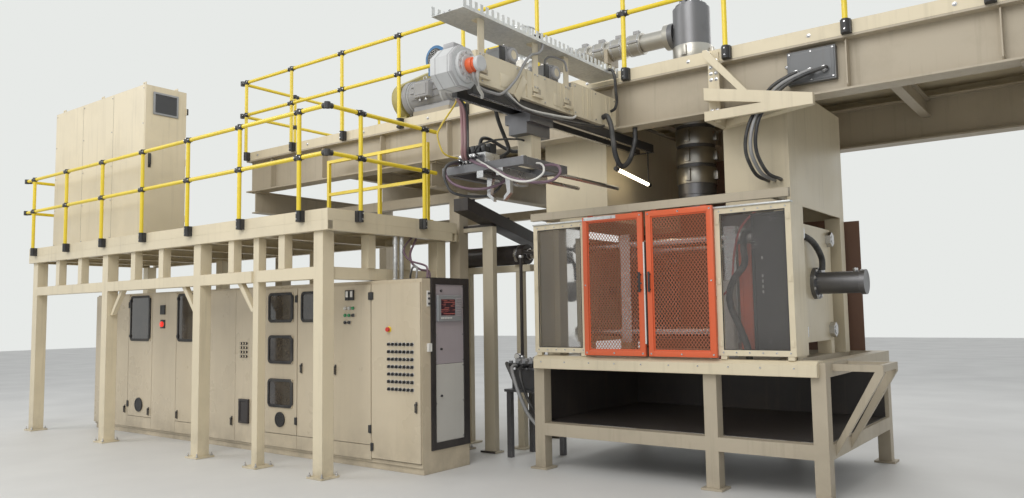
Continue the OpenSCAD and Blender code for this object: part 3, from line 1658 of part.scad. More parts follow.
module hose(route, r, steps, sides = 8) {
  p = smooth_route(route, steps);
  s = carried(p, 0, side_of(heading(p, 0)));
  pts = [for (i = [0 : len(p) - 1], k = [0 : sides - 1])
    let (t = heading(p, i), u = s[i], v = cross(t, u), a = 360 * k / sides)
    p[i] + r * (cos(a) * u + sin(a) * v)];
  n = len(p);
  walls = [for (i = [0 : n - 2], k = [0 : sides - 1])
    let (a = i * sides + k, b = i * sides + (k + 1) % sides)
    [a, b, b + sides, a + sides]];
  polyhedron(points = pts, faces = concat(
    [[for (k = [0 : sides - 1]) sides - 1 - k]], walls,
    [[for (k = [0 : sides - 1]) (n - 1) * sides + k]]), convexity = 6);
}

service_route = [[2688, 1300, 3620], [2704, 1300, 3620], [2740, 1300, 3620], [2790, 1290, 3500],
  [2810, 1310, 3250], [2830, 1400, 3120], [2850, 1540, 3200], [2860, 1640, 3400], [2860, 1650, 3480],
  [2860, 1650, 3549]];
tool_route = [[2200, -60, 3071], [2200, -60, 3086], [2200, -60, 3150], [2185, -10, 3250],
  [2180, 110, 3270], [2230, 220, 3215], [2330, 255, 3160], [2400, 255, 3150], [2447, 255, 3150]];

module service_hose() {
  color(black) hose(service_route, 26, 2);
}

module tool_hose() {
  color(black) hose(tool_route, hose_r, 2);
}

module junction_hoses() {
  start_y = girder_front_y - girder_t / 2 - seam - box_t - 2;
  color(black)
    for (i = [0 : 2])
      hose([[box_x + gland_x[i], start_y, gland_z], [box_x + gland_x[i], start_y - 60, gland_z],
        [4330 + i * 70, 1520, 3680], [4160 + i * 40, 1520, 3480], [4080 + i * 45, 1500, 3280],
        [4060 + i * 50, 1530, 3090], [4080 + i * 55, 1700, 2930], [4120 + i * 60, 1830, 2892],
        [4120 + i * 60, 1923, 2890]], hose_r, 1);
}

lower_deck_frame();
upper_deck_frame();
deck_plates();
support_columns();
guard_rails();
rail_fittings();
back_guard();
hose_bracket();
junction_box();
drive_cabinet();
drive_cabinet_door();
supply_cabinet();
supply_door_left();
supply_door_right();
control_cabinets();
heater_door_left();
heater_door_right();
gauge_door();
selector_door();
selector_knobs();
stop_button();
rack_frame();
rack_panels();
press_base();
press_sill();
end_plates();
tie_bars();
clamp_cylinders();
platen_left();
platen_right();
guard_frame();
window_panes();
gate_left();
gate_right();
gate_track();
extruder_stand();
drive_motor();
motor_blower();
belt_guard();
gearbox();
extruder_barrel();
extruder_screw();
feed_hopper();
parison_head();
head_cylinder();
die_pin();
robot_beam();
robot_servo();
cable_tray();
robot_carriage();
robot_arm();
tooling_frame();
gripper_left();
gripper_right();
valve_stand();
oil_accumulator();
scrap_chute();
service_hose();
tool_hose();
junction_hoses();
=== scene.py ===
import bpy
import math
import random
from mathutils import Matrix, Vector


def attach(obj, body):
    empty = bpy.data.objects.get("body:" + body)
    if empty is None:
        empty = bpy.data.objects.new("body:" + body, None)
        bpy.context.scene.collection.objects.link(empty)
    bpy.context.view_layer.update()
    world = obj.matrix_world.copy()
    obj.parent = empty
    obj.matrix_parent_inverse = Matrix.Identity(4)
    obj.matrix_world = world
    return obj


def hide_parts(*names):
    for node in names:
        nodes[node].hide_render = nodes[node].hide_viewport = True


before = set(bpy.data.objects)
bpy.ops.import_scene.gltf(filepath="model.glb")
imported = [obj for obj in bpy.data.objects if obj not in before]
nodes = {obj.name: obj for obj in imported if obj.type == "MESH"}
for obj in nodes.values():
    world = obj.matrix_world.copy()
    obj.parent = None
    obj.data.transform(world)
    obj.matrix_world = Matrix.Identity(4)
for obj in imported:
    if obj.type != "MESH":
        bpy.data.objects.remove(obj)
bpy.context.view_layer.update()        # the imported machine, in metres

print("machine loaded, parts:", len(nodes))

# camera

cameraSet = {"place": (6.695, -5.574, 1.66), "heading": 36.954, "pitch": 4.681, "roll": -0.8895, "lens": 28.154}


def addCamera(s):
    turn, tilt, lean = (math.radians(s[k]) for k in ("heading", "pitch", "roll"))
    ahead = Vector((-math.sin(turn) * math.cos(tilt), math.cos(turn) * math.cos(tilt), math.sin(tilt)))
    side = Vector((math.cos(turn), math.sin(turn), 0))
    up = side.cross(ahead)
    right = side * math.cos(lean) + up * math.sin(lean)
    above = up * math.cos(lean) - side * math.sin(lean)
    data = bpy.data.cameras.new("photoCamera")
    data.sensor_width = 36
    data.sensor_fit = "HORIZONTAL"
    data.lens = s["lens"]
    data.clip_end = 200
    camera = bpy.data.objects.new("photoCamera", data)
    bpy.context.scene.collection.objects.link(camera)
    camera.matrix_world = Matrix.Translation(s["place"]) @ Matrix((right, above, -ahead)).transposed().to_4x4()
    bpy.context.scene.camera = camera


addCamera(cameraSet)
bpy.context.scene.view_settings.view_transform = "Standard"

# shared node helpers


def linkIn(tree, socket, value):
    if hasattr(value, "is_output"):
        tree.links.new(value, socket)
    elif hasattr(value, "__len__") and len(value) == 3 and socket.type == "RGBA":
        socket.default_value = (*value, 1)
    else:
        socket.default_value = value


def calc(tree, kind, a, b=0.0, hold=False):
    n = tree.nodes.new("ShaderNodeMath")
    n.operation = kind
    n.use_clamp = hold
    linkIn(tree, n.inputs[0], a)
    linkIn(tree, n.inputs[1], b)
    return n.outputs[0]


def times(tree, a, b, hold=False):
    return calc(tree, "MULTIPLY", a, b, hold)


def plus(tree, a, b, hold=False):
    return calc(tree, "ADD", a, b, hold)


def ramp(tree, value, low, high, outLow=0.0, outHigh=1.0):
    n = tree.nodes.new("ShaderNodeMapRange")
    for i, v in enumerate((value, low, high, outLow, outHigh)):
        linkIn(tree, n.inputs[i], v)
    return n.outputs[0]


def mixColour(tree, amount, a, b, kind="MIX"):
    n = tree.nodes.new("ShaderNodeMix")
    n.data_type = "RGBA"
    n.blend_type = kind
    linkIn(tree, n.inputs[0], amount)
    linkIn(tree, n.inputs[6], a)
    linkIn(tree, n.inputs[7], b)
    return n.outputs[2]


def objectPoint(tree, stretch=(1, 1, 1)):
    spot = tree.nodes.new("ShaderNodeTexCoord").outputs["Object"]
    if stretch == (1, 1, 1):
        return spot
    n = tree.nodes.new("ShaderNodeMapping")
    n.inputs["Scale"].default_value = stretch
    tree.links.new(spot, n.inputs["Vector"])
    return n.outputs[0]


def noise(tree, spot, scale, detail=3.0, rough=0.5):
    n = tree.nodes.new("ShaderNodeTexNoise")
    tree.links.new(spot, n.inputs["Vector"])
    n.inputs["Scale"].default_value = scale
    n.inputs["Detail"].default_value = detail
    n.inputs["Roughness"].default_value = rough
    return n.outputs[0]


def newGroup(name, inputs, outputs):
    tree = bpy.data.node_groups.new(name, "ShaderNodeTree")
    for label, kind, start in inputs:
        socket = tree.interface.new_socket(label, in_out="INPUT", socket_type=kind)
        socket.default_value = start
    for label, kind in outputs:
        tree.interface.new_socket(label, in_out="OUTPUT", socket_type=kind)
    return tree, tree.nodes.new("NodeGroupInput").outputs, tree.nodes.new("NodeGroupOutput").inputs


valueKind, vectorKind = "NodeSocketFloat", "NodeSocketVector"


def edgeGroup():        # worn corners and their softened normal
    tree, given, out = newGroup("wornEdges", [("Width", valueKind, 0.006), ("Patchiness", valueKind, 0.5)],
                                [("Mask", valueKind), ("Normal", vectorKind)])
    bevel = tree.nodes.new("ShaderNodeBevel")
    bevel.samples = 3
    tree.links.new(given["Width"], bevel.inputs["Radius"])
    shape = tree.nodes.new("ShaderNodeNewGeometry")
    dot = tree.nodes.new("ShaderNodeVectorMath")
    dot.operation = "DOT_PRODUCT"
    tree.links.new(bevel.outputs[0], dot.inputs[0])
    tree.links.new(shape.outputs["Normal"], dot.inputs[1])
    edge = ramp(tree, calc(tree, "SUBTRACT", 1.0, dot.outputs["Value"]), 0.02, 0.25)
    patch = ramp(tree, noise(tree, objectPoint(tree), 9, 5, 0.65), given["Patchiness"],
                 plus(tree, given["Patchiness"], 0.12))
    tree.links.new(times(tree, edge, patch, True), out["Mask"])
    tree.links.new(bevel.outputs[0], out["Normal"])
    return tree


def grimeGroup():        # run marks, floor splash and blotches
    tree, given, out = newGroup("shopGrime", [("Streaks", valueKind, 0.5), ("Splash", valueKind, 0.6),
                                              ("Blotches", valueKind, 0.3)], [("Mask", valueKind)])
    spot = objectPoint(tree)
    streak = ramp(tree, noise(tree, objectPoint(tree, (9, 9, 0.5)), 1.6, 4, 0.6), 0.55, 0.8)
    height = tree.nodes.new("ShaderNodeSeparateXYZ")
    tree.links.new(spot, height.inputs[0])
    low = times(tree, ramp(tree, height.outputs["Z"], 0.45, 0.0),
               ramp(tree, noise(tree, spot, 3.5, 5, 0.6), 0.35, 0.65))
    blotch = ramp(tree, noise(tree, spot, 1.3, 6, 0.62), 0.5, 0.75)
    total = plus(tree, times(tree, streak, given["Streaks"]),
                 times(tree, low, given["Splash"]))
    total = plus(tree, total, times(tree, blotch, given["Blotches"]), True)
    tree.links.new(total, out["Mask"])
    return tree


def skinGroup():        # sprayed paint: orange peel and uneven gloss
    tree, given, out = newGroup("sprayedSkin", [("Gloss", valueKind, 0.4), ("Peel", valueKind, 1.0)],
                                [("Roughness", valueKind), ("Height", valueKind), ("Tone", valueKind)])
    spot = objectPoint(tree)
    peel = noise(tree, spot, 160, 2)
    wave = noise(tree, spot, 2.2, 3)
    tree.links.new(plus(tree, given["Gloss"], ramp(tree, wave, 0.3, 0.7, -0.07, 0.09)), out["Roughness"])
    tree.links.new(times(tree, peel, given["Peel"]), out["Height"])
    tree.links.new(ramp(tree, noise(tree, spot, 0.55, 4, 0.6), 0.3, 0.7, 0.93, 1.05), out["Tone"])
    return tree


def scratchGroup():        # fine directional scratches on metal and plastic
    tree, given, out = newGroup("fineScratches", [("Amount", valueKind, 0.5)], [("Mask", valueKind)])
    along = noise(tree, objectPoint(tree, (2, 2, 90)), 6, 3, 0.7)
    across = noise(tree, objectPoint(tree, (70, 3, 3)), 5, 3, 0.7)
    mask = calc(tree, "MAXIMUM", ramp(tree, along, 0.6, 0.75), ramp(tree, across, 0.62, 0.78))
    tree.links.new(times(tree, mask, given["Amount"], True), out["Mask"])
    return tree


groups = {"edges": edgeGroup(), "grime": grimeGroup(), "skin": skinGroup(), "scratches": scratchGroup()}


def useGroup(tree, name, **given):
    n = tree.nodes.new("ShaderNodeGroup")
    n.node_tree = groups[name]
    for label, value in given.items():
        linkIn(tree, n.inputs[label], value)
    return n.outputs


def newMaterial(name):
    material = bpy.data.materials.new(name)
    material.use_nodes = True
    tree = material.node_tree
    shader = tree.nodes["Principled BSDF"]
    return material, tree, shader


def bumpUp(tree, shader, height, strength, distance, normal=None):
    n = tree.nodes.new("ShaderNodeBump")
    n.inputs["Strength"].default_value = strength
    n.inputs["Distance"].default_value = distance
    tree.links.new(height, n.inputs["Height"])
    if normal is not None:
        tree.links.new(normal, n.inputs["Normal"])
    tree.links.new(n.outputs[0], shader.inputs["Normal"])


def surface(tree, shader, tone, rough):
    linkIn(tree, shader.inputs["Base Color"], tone)
    linkIn(tree, shader.inputs["Roughness"], rough)


def insideBox(tree, low, high):        # 1 inside a box given in metres
    split = tree.nodes.new("ShaderNodeSeparateXYZ")
    tree.links.new(objectPoint(tree), split.inputs[0])
    mask = None
    for axis in range(3):
        for limit, kind in ((low[axis], "GREATER_THAN"), (high[axis], "LESS_THAN")):
            if limit is not None:
                step = calc(tree, kind, split.outputs[axis], limit)
                mask = step if mask is None else times(tree, mask, step)
    return mask


def paint(name, colour, gloss=0.42, grime=(0.35, 0.7, 0.25), grimeColour=(0.16, 0.13, 0.09), under=(0.25, 0.2, 0.15),
          wear=0.62, edge=0.005, zones=(), coat=0.0):
    material, tree, shader = newMaterial(name)
    skin = useGroup(tree, "skin", Gloss=gloss, Peel=1.0)
    dirt = useGroup(tree, "grime", Streaks=grime[0], Splash=grime[1], Blotches=grime[2])["Mask"]
    corners = useGroup(tree, "edges", Width=edge, Patchiness=wear)
    tone = mixColour(tree, 1.0, colour, skin["Tone"], "MULTIPLY")
    rough = skin["Roughness"]
    for low, high, other, otherGloss in zones:        # parts of the node with another finish, or painted darker as painted shade
        mask = insideBox(tree, low, high)
        tone = mixColour(tree, mask, tone, other)
        rough = ramp(tree, mask, 0.0, 1.0, rough, otherGloss)
    tone = mixColour(tree, times(tree, dirt, 0.55), tone, grimeColour)
    tone = mixColour(tree, times(tree, corners["Mask"], 0.8), tone, under)
    surface(tree, shader, tone, plus(tree, rough, times(tree, dirt, 0.25), True))
    shader.inputs["Coat Weight"].default_value = coat
    shader.inputs["Coat Roughness"].default_value = 0.25
    bumpUp(tree, shader, skin["Height"], 0.12, 0.002, corners["Normal"])
    return material


def bareMetal(name, colour, dark, gloss=0.32, scratches=0.6, oil=0.4, metallic=1.0):
    material, tree, shader = newMaterial(name)
    marks = useGroup(tree, "scratches", Amount=scratches)["Mask"]
    dirt = useGroup(tree, "grime", Streaks=0.1, Splash=0.4, Blotches=oil)["Mask"]
    corners = useGroup(tree, "edges", Width=0.003, Patchiness=0.4)
    tone = mixColour(tree, times(tree, dirt, 0.8), colour, dark)
    tone = mixColour(tree, times(tree, corners["Mask"], 0.5), tone, (0.8, 0.8, 0.8))
    oiled = ramp(tree, dirt, 0, 1, gloss, gloss + 0.25)
    surface(tree, shader, tone, plus(tree, times(tree, marks, 0.2), oiled, True))
    shader.inputs["Metallic"].default_value = metallic
    bumpUp(tree, shader, marks, 0.15, 0.0006, corners["Normal"])
    return material


def zincCoat(name):        # galvanised sheet with its crystal pattern
    material, tree, shader = newMaterial(name)
    cells = tree.nodes.new("ShaderNodeTexVoronoi")
    cells.inputs["Scale"].default_value = 45
    tree.links.new(objectPoint(tree), cells.inputs["Vector"])
    shade = tree.nodes.new("ShaderNodeSeparateColor")
    tree.links.new(cells.outputs["Color"], shade.inputs[0])
    dirt = useGroup(tree, "grime", Streaks=0.3, Splash=0.5, Blotches=0.5)["Mask"]
    tone = mixColour(tree, ramp(tree, shade.outputs[0], 0, 1, 0.1, 0.9), (0.62, 0.64, 0.65), (0.74, 0.75, 0.75))
    tone = mixColour(tree, times(tree, dirt, 0.6), tone, (0.3, 0.28, 0.25))
    surface(tree, shader, tone, ramp(tree, shade.outputs[1], 0, 1, 0.35, 0.55))
    shader.inputs["Metallic"].default_value = 0.75
    bumpUp(tree, shader, shade.outputs[2], 0.1, 0.0005, useGroup(tree, "edges", Width=0.003)["Normal"])
    return material


def rubber(name, colour=(0.022, 0.022, 0.024), gloss=0.55, dust=0.35, dustColour=(0.2, 0.19, 0.17)):
    material, tree, shader = newMaterial(name)
    spot = objectPoint(tree)
    settled = ramp(tree, noise(tree, spot, 4.5, 6, 0.6), 0.42, 0.75)
    grain = noise(tree, spot, 350, 2)
    tone = mixColour(tree, times(tree, settled, dust), colour, dustColour)
    surface(tree, shader, tone, ramp(tree, settled, 0, 1, gloss, min(gloss + 0.3, 1)))
    bumpUp(tree, shader, grain, 0.2, 0.0006)
    return material


def braidedHose(name, colour, weave=420.0, gloss=0.4):        # ribbed jacket
    material, tree, shader = newMaterial(name)
    spot = objectPoint(tree)
    ribs = noise(tree, spot, weave, 1)
    film = ramp(tree, noise(tree, spot, 7, 5, 0.6), 0.4, 0.7)
    tone = mixColour(tree, times(tree, film, 0.35), colour, (0.25, 0.24, 0.22))
    surface(tree, shader, tone, ramp(tree, film, 0, 1, gloss, gloss + 0.25))
    bumpUp(tree, shader, ribs, 0.25, 0.0008)
    return material


def scuffedPane(name, tint=(0.7, 0.68, 0.66), haze=0.3):
    material, tree, shader = newMaterial(name)
    marks = useGroup(tree, "scratches", Amount=0.8)["Mask"]
    rub = ramp(tree, noise(tree, objectPoint(tree), 3.2, 6, 0.65), 0.45, 0.8)
    shader.inputs["Base Color"].default_value = (*tint, 1)
    shader.inputs["Transmission Weight"].default_value = 0.93
    shader.inputs["IOR"].default_value = 1.3
    linkIn(tree, shader.inputs["Roughness"], plus(tree, times(tree, rub, haze),
                                                  times(tree, marks, 0.25), True))
    bumpUp(tree, shader, marks, 0.08, 0.0004)
    return material


def smokedPane(name):        # tinted door window, dark from outside
    material, tree, shader = newMaterial(name)
    film = ramp(tree, noise(tree, objectPoint(tree), 5, 6, 0.6), 0.4, 0.75)
    tone = mixColour(tree, times(tree, film, 0.35), (0.035, 0.03, 0.028), (0.14, 0.12, 0.1))
    surface(tree, shader, tone, ramp(tree, film, 0, 1, 0.06, 0.22))
    shader.inputs["Coat Weight"].default_value = 0.6
    return material


def plastic(name, colour, gloss=0.35, grain=0.15, glow=0.0):
    material, tree, shader = newMaterial(name)
    spot = objectPoint(tree)
    film = ramp(tree, noise(tree, spot, 11, 5, 0.6), 0.4, 0.75)
    dull = tuple(c * 0.7 + 0.05 for c in colour)
    tone = mixColour(tree, times(tree, film, 0.4), colour, dull)
    surface(tree, shader, tone, ramp(tree, film, 0, 1, gloss, gloss + 0.2))
    if glow:
        shader.inputs["Emission Color"].default_value = (*colour, 1)
        shader.inputs["Emission Strength"].default_value = glow
    bumpUp(tree, shader, noise(tree, spot, 300, 2), grain, 0.0005)
    return material


def deckPaint(name, colour):        # cream fascia, chequer pattern on the walking face
    material, tree, shader = newMaterial(name)
    skin = useGroup(tree, "skin", Gloss=0.45, Peel=0.5)
    dirt = useGroup(tree, "grime", Streaks=0.35, Splash=0.0, Blotches=0.4)["Mask"]
    corners = useGroup(tree, "edges", Width=0.005, Patchiness=0.6)
    up = tree.nodes.new("ShaderNodeSeparateXYZ")
    tree.links.new(tree.nodes.new("ShaderNodeNewGeometry").outputs["Normal"], up.inputs[0])
    top = calc(tree, "GREATER_THAN", up.outputs["Z"], 0.9)
    turned = tree.nodes.new("ShaderNodeMapping")
    turned.inputs["Rotation"].default_value = (0, 0, math.radians(45))
    turned.inputs["Scale"].default_value = (30, 11, 1)
    tree.links.new(objectPoint(tree), turned.inputs[0])
    lugs = tree.nodes.new("ShaderNodeTexVoronoi")
    lugs.inputs["Scale"].default_value = 1
    lugs.inputs["Randomness"].default_value = 0
    tree.links.new(turned.outputs[0], lugs.inputs["Vector"])
    raised = times(tree, ramp(tree, lugs.outputs["Distance"], 0.36, 0.22), top)
    walked = times(tree, top, ramp(tree, noise(tree, objectPoint(tree), 1.1, 5), 0.35, 0.65, 0.3, 0.8))
    tone = mixColour(tree, 1.0, colour, skin["Tone"], "MULTIPLY")
    tone = mixColour(tree, walked, tone, (0.27, 0.25, 0.22))
    tone = mixColour(tree, times(tree, raised, 0.5), tone, (0.5, 0.49, 0.46))
    tone = mixColour(tree, times(tree, dirt, 0.5), tone, (0.2, 0.17, 0.12))
    tone = mixColour(tree, times(tree, corners["Mask"], 0.7), tone, (0.25, 0.2, 0.15))
    surface(tree, shader, tone, plus(tree, skin["Roughness"], times(tree, dirt, 0.2), True))
    bumpUp(tree, shader, plus(tree, raised, times(tree, skin["Height"], 0.05)), 0.5, 0.003,
           corners["Normal"])
    return material


def screenFace(name):        # dim terminal screen with plain bars
    material, tree, shader = newMaterial(name)
    split = tree.nodes.new("ShaderNodeSeparateXYZ")
    tree.links.new(objectPoint(tree), split.inputs[0])
    rows = calc(tree, "GREATER_THAN", calc(tree, "SINE", times(tree, split.outputs["Z"], 300.0)), 0.35)
    length = calc(tree, "LESS_THAN", noise(tree, objectPoint(tree, (1, 9, 48)), 1.0, 0), 0.52)
    bars = times(tree, rows, length)
    tone = mixColour(tree, bars, (0.03, 0.012, 0.018), (0.3, 0.08, 0.07))
    linkIn(tree, shader.inputs["Base Color"], tone)
    linkIn(tree, shader.inputs["Emission Color"], tone)
    shader.inputs["Emission Strength"].default_value = 0.35
    shader.inputs["Roughness"].default_value = 0.12
    return material


# the second colour is the cream paint darkened as painted shade for the girders; the gate track, stand, gearbox and
# base share it
cream, shadedCream, black, orange = (0.71, 0.625, 0.45), (0.46, 0.4, 0.3), (0.03, 0.025, 0.025), (0.72, 0.13, 0.045)
creamCoat = {"gloss": 0.36, "coat": 0.12}
shadedCreamCoat = {"gloss": 0.45, "grime": (0.5, 0.6, 0.45)}
blackCoat = {"gloss": 0.4, "grime": (0.3, 0.5, 0.45), "under": (0.35, 0.33, 0.3)}
gateCoat = {"gloss": 0.34, "grime": (0.3, 0.2, 0.3), "under": (0.3, 0.26, 0.22)}
chuteCream = ((0.56, 0.5, 0.38), 0.42)        # legs and tie of the chute
finish = {
    "cream": paint("creamPaint", cream, **creamCoat),
    "cabinet": paint("cabinetCream", (0.585, 0.505, 0.37), gloss=0.3, grime=(0.25, 0.8, 0.2), coat=0.3),
    # cream darkened as painted shade
    "shadedCream": paint("shadedCreamPaint", shadedCream, **shadedCreamCoat),
    # the base: cream darkened as painted shade, with its inside between the legs painted near black as painted shade
    "base": paint("basePaint", shadedCream, **shadedCreamCoat,
                  zones=[((1.5995, 1.7545, 0.4902), (4.611, 3.8955, 1.0698), (0.035, 0.03, 0.028), 0.5)]),
    # the guard frame's rear wall, behind y 3.95, is painted dark brown as painted shade
    "guards": paint("guardPaint", cream, **creamCoat,
                    zones=[((None, 3.95, None), (None, None, None), (0.2, 0.11, 0.075), 0.6)]),
    "bottle": paint("bottlePaint", black, **blackCoat,
                    zones=[((-0.35, 2.485, None), (0.87, 2.715, 2.2855), (0.6, 0.54, 0.41), 0.4)]),
    "chute": paint("chutePaint", black, **blackCoat,
                   zones=[((None, 2.115, None), (None, 2.205, 2.75), *chuteCream),
                          ((None, 3.495, None), (None, 3.585, 2.42), *chuteCream),
                          ((0.6405, None, None), (None, None, None), *chuteCream)]),
    "yellow": paint("yellowPaint", (0.84, 0.64, 0.03), gloss=0.3, grime=(0.15, 0.2, 0.3), edge=0.002, coat=0.25),
    "orange": paint("orangePaint", orange, **gateCoat,
                    zones=[((2.9702, None, None), (None, None, None), (0.02, 0.02, 0.022), 0.6)]),
    "orangePlain": paint("orangeGatePaint", orange, **gateCoat),
    "gateWire": paint("gateWirePaint", (0.5, 0.17, 0.09), gloss=0.4, grime=(0.3, 0.2, 0.6), under=(0.45, 0.36, 0.3)),
    "grey": paint("greyPaint", (0.38, 0.38, 0.385), gloss=0.38, grime=(0.3, 0.3, 0.4)),
    "paleGrey": paint("paleGreyPaint", (0.56, 0.57, 0.57), gloss=0.35, grime=(0.2, 0.2, 0.35)),
    "boxGrey": paint("boxGreyPaint", (0.16, 0.165, 0.17), gloss=0.45, grime=(0.3, 0.1, 0.4), under=(0.4, 0.4, 0.4)),
    "rackGrey": paint("rackPanelPaint", (0.39, 0.35, 0.37), gloss=0.4, grime=(0.1, 0.4, 0.2),
                      zones=[((None, None, None), (None, None, 1.1385), (0.55, 0.54, 0.5), 0.4)]),
    "black": paint("blackPaint", black, **blackCoat, grimeColour=(0.16, 0.15, 0.13)),
    "blue": paint("bluePaint", (0.06, 0.2, 0.42), gloss=0.4, grime=(0.3, 0.2, 0.45)),
    "olive": paint("oliveGuardPaint", (0.5, 0.43, 0.16), gloss=0.42, grime=(0.4, 0.2, 0.5)),
    "beam": paint("beamPaint", (0.72, 0.64, 0.47), gloss=0.4, grime=(0.45, 0.0, 0.5),
                  zones=[((None, None, None), (None, None, 3.5398), (0.05, 0.05, 0.052), 0.35),
                         ((2.4, None, 3.8052), (2.66, 0.8, 3.97), (0.33, 0.34, 0.35), 0.4)]),
    "darkSteel": bareMetal("darkSteel", (0.2, 0.2, 0.21), (0.05, 0.045, 0.04), 0.42, 0.5, 0.6, 0.8),
    "steel": bareMetal("machinedSteel", (0.58, 0.58, 0.59), (0.16, 0.13, 0.1), 0.26, 0.6, 0.4),
    "bands": bareMetal("bandSteel", (0.5, 0.48, 0.44), (0.2, 0.15, 0.1), 0.35, 0.5, 0.6),
    "zinc": zincCoat("zincSheet"),
    "rubber": rubber("blackRubber"),
    "fitting": rubber("blackFitting", (0.02, 0.02, 0.022), 0.4, 0.2),
    "pane": scuffedPane("clearPane"),
    "smoked": smokedPane("smokedPane"),
    "deck": deckPaint("deckPaint", cream),
    "screen": screenFace("terminalScreen"),
    "blackPlastic": plastic("blackPlastic", (0.025, 0.025, 0.027)),
    "redPlastic": plastic("redPlastic", (0.6, 0.03, 0.02), 0.25),
    "redGlow": plastic("redLens", (0.8, 0.03, 0.02), 0.2, 0.05, 0.8),
    "whitePlastic": plastic("whitePlastic", (0.75, 0.74, 0.7)),
    "greyPlastic": plastic("greyPlastic", (0.3, 0.31, 0.32)),
    "greenPlastic": plastic("greenPlastic", (0.05, 0.3, 0.12)),
    "bluePlastic": plastic("bluePlastic", (0.04, 0.13, 0.5)),
    "purpleHose": braidedHose("purpleTube", (0.16, 0.09, 0.13)),
    "pinkHose": braidedHose("pinkTube", (0.36, 0.2, 0.21)),
    "greyHose": braidedHose("greyCable", (0.3, 0.3, 0.3)),
    "whiteHose": braidedHose("braidedCable", (0.65, 0.64, 0.6), 700, 0.5),
    "yellowHose": braidedHose("yellowTube", (0.7, 0.52, 0.05)),
    "redHose": braidedHose("redTube", (0.55, 0.05, 0.04)),
    "blackHose": braidedHose("blackHose", (0.02, 0.02, 0.022), 300, 0.35),
    # dark brown for the sheet across the back: painted shade behind the clamp
    "paintedShadeBrown": paint("rearShadePaint", (0.2, 0.11, 0.075), gloss=0.6, grime=(0.5, 0.1, 0.5)),
    "lamp": plastic("lampTube", (1.0, 0.86, 0.62), 0.3, 0.0, 6.0),
}
print("finishes made:", len(finish))

paintedParts = {
    "cream": "lower_deck_frame support_columns hose_bracket drive_cabinet drive_cabinet_door press_sill "
             "end_plates robot_arm",
    # cream paint darkened as painted shade
    "shadedCream": "upper_deck_frame gate_track extruder_stand gearbox",
    "deck": "deck_plates",
    "yellow": "guard_rails back_guard",
    "fitting": "rail_fittings",
    "boxGrey": "junction_box",
    "cabinet": "supply_cabinet supply_door_left supply_door_right control_cabinets heater_door_left "
               "heater_door_right gauge_door selector_door",
    "blackPlastic": "selector_knobs",
    "redPlastic": "stop_button",
    "black": "rack_frame",
    "rackGrey": "rack_panels",
    "base": "press_base",
    "steel": "tie_bars platen_left platen_right extruder_screw die_pin gripper_left gripper_right",
    "darkSteel": "clamp_cylinders parison_head head_cylinder robot_carriage tooling_frame valve_stand",
    "guards": "guard_frame",
    "pane": "window_panes",
    "orange": "gate_left",
    "orangePlain": "gate_right",
    "grey": "drive_motor",
    "blue": "motor_blower",
    "olive": "belt_guard",
    "bands": "extruder_barrel",
    "zinc": "feed_hopper cable_tray",
    "beam": "robot_beam",
    "paleGrey": "robot_servo",
    "bottle": "oil_accumulator",
    "chute": "scrap_chute",
}
for look, names in paintedParts.items():
    for name in names.split():
        nodes[name].data.materials.clear()
        nodes[name].data.materials.append(finish[look])
print("parts painted, finishes used:", len(paintedParts))


def curvePoint(route, i, t):
    a, b, c, d = (route[max(i - 1, 0)], route[i], route[i + 1], route[min(i + 2, len(route) - 1)])
    return 0.5 * (2 * b + (c - a) * t + (2 * a - 5 * b + 4 * c - d) * t * t + (3 * b - a - 3 * c + d) * t ** 3)


def layHose(name, places, radius, look, body="frame", stands=()):
    route = [Vector(p) for p in places]
    fine = route
    while len(fine) < 15:        # the same line with more points
        fine = [curvePoint(fine, i, t) for i in range(len(fine) - 1) for t in (0, 0.5)] + [fine[-1]]
    data = bpy.data.curves.new(name, "CURVE")
    data.dimensions = "3D"
    data.bevel_depth = radius
    data.bevel_resolution = 3
    data.resolution_u = 5
    data.use_fill_caps = True
    spline = data.splines.new("BEZIER")
    spline.bezier_points.add(len(fine) - 1)
    for i, p in enumerate(fine):
        pull = (fine[min(i + 1, len(fine) - 1)] - fine[max(i - 1, 0)]) / 6
        knot = spline.bezier_points[i]
        knot.co = p
        knot.handle_left_type = knot.handle_right_type = "FREE"
        knot.handle_left = p - pull
        knot.handle_right = p + pull
    hose = bpy.data.objects.new(name, data)
    bpy.context.scene.collection.objects.link(hose)
    data.materials.append(finish[look])
    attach(hose, body)
    if stands:
        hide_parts(*stands)


def layAll(runs, body="frame"):
    for name, points, radius, look in runs:
        layHose(name, points, radius, look, body)


def metres(*points):
    return [(x / 1000, y / 1000, z / 1000) for x, y, z in points]


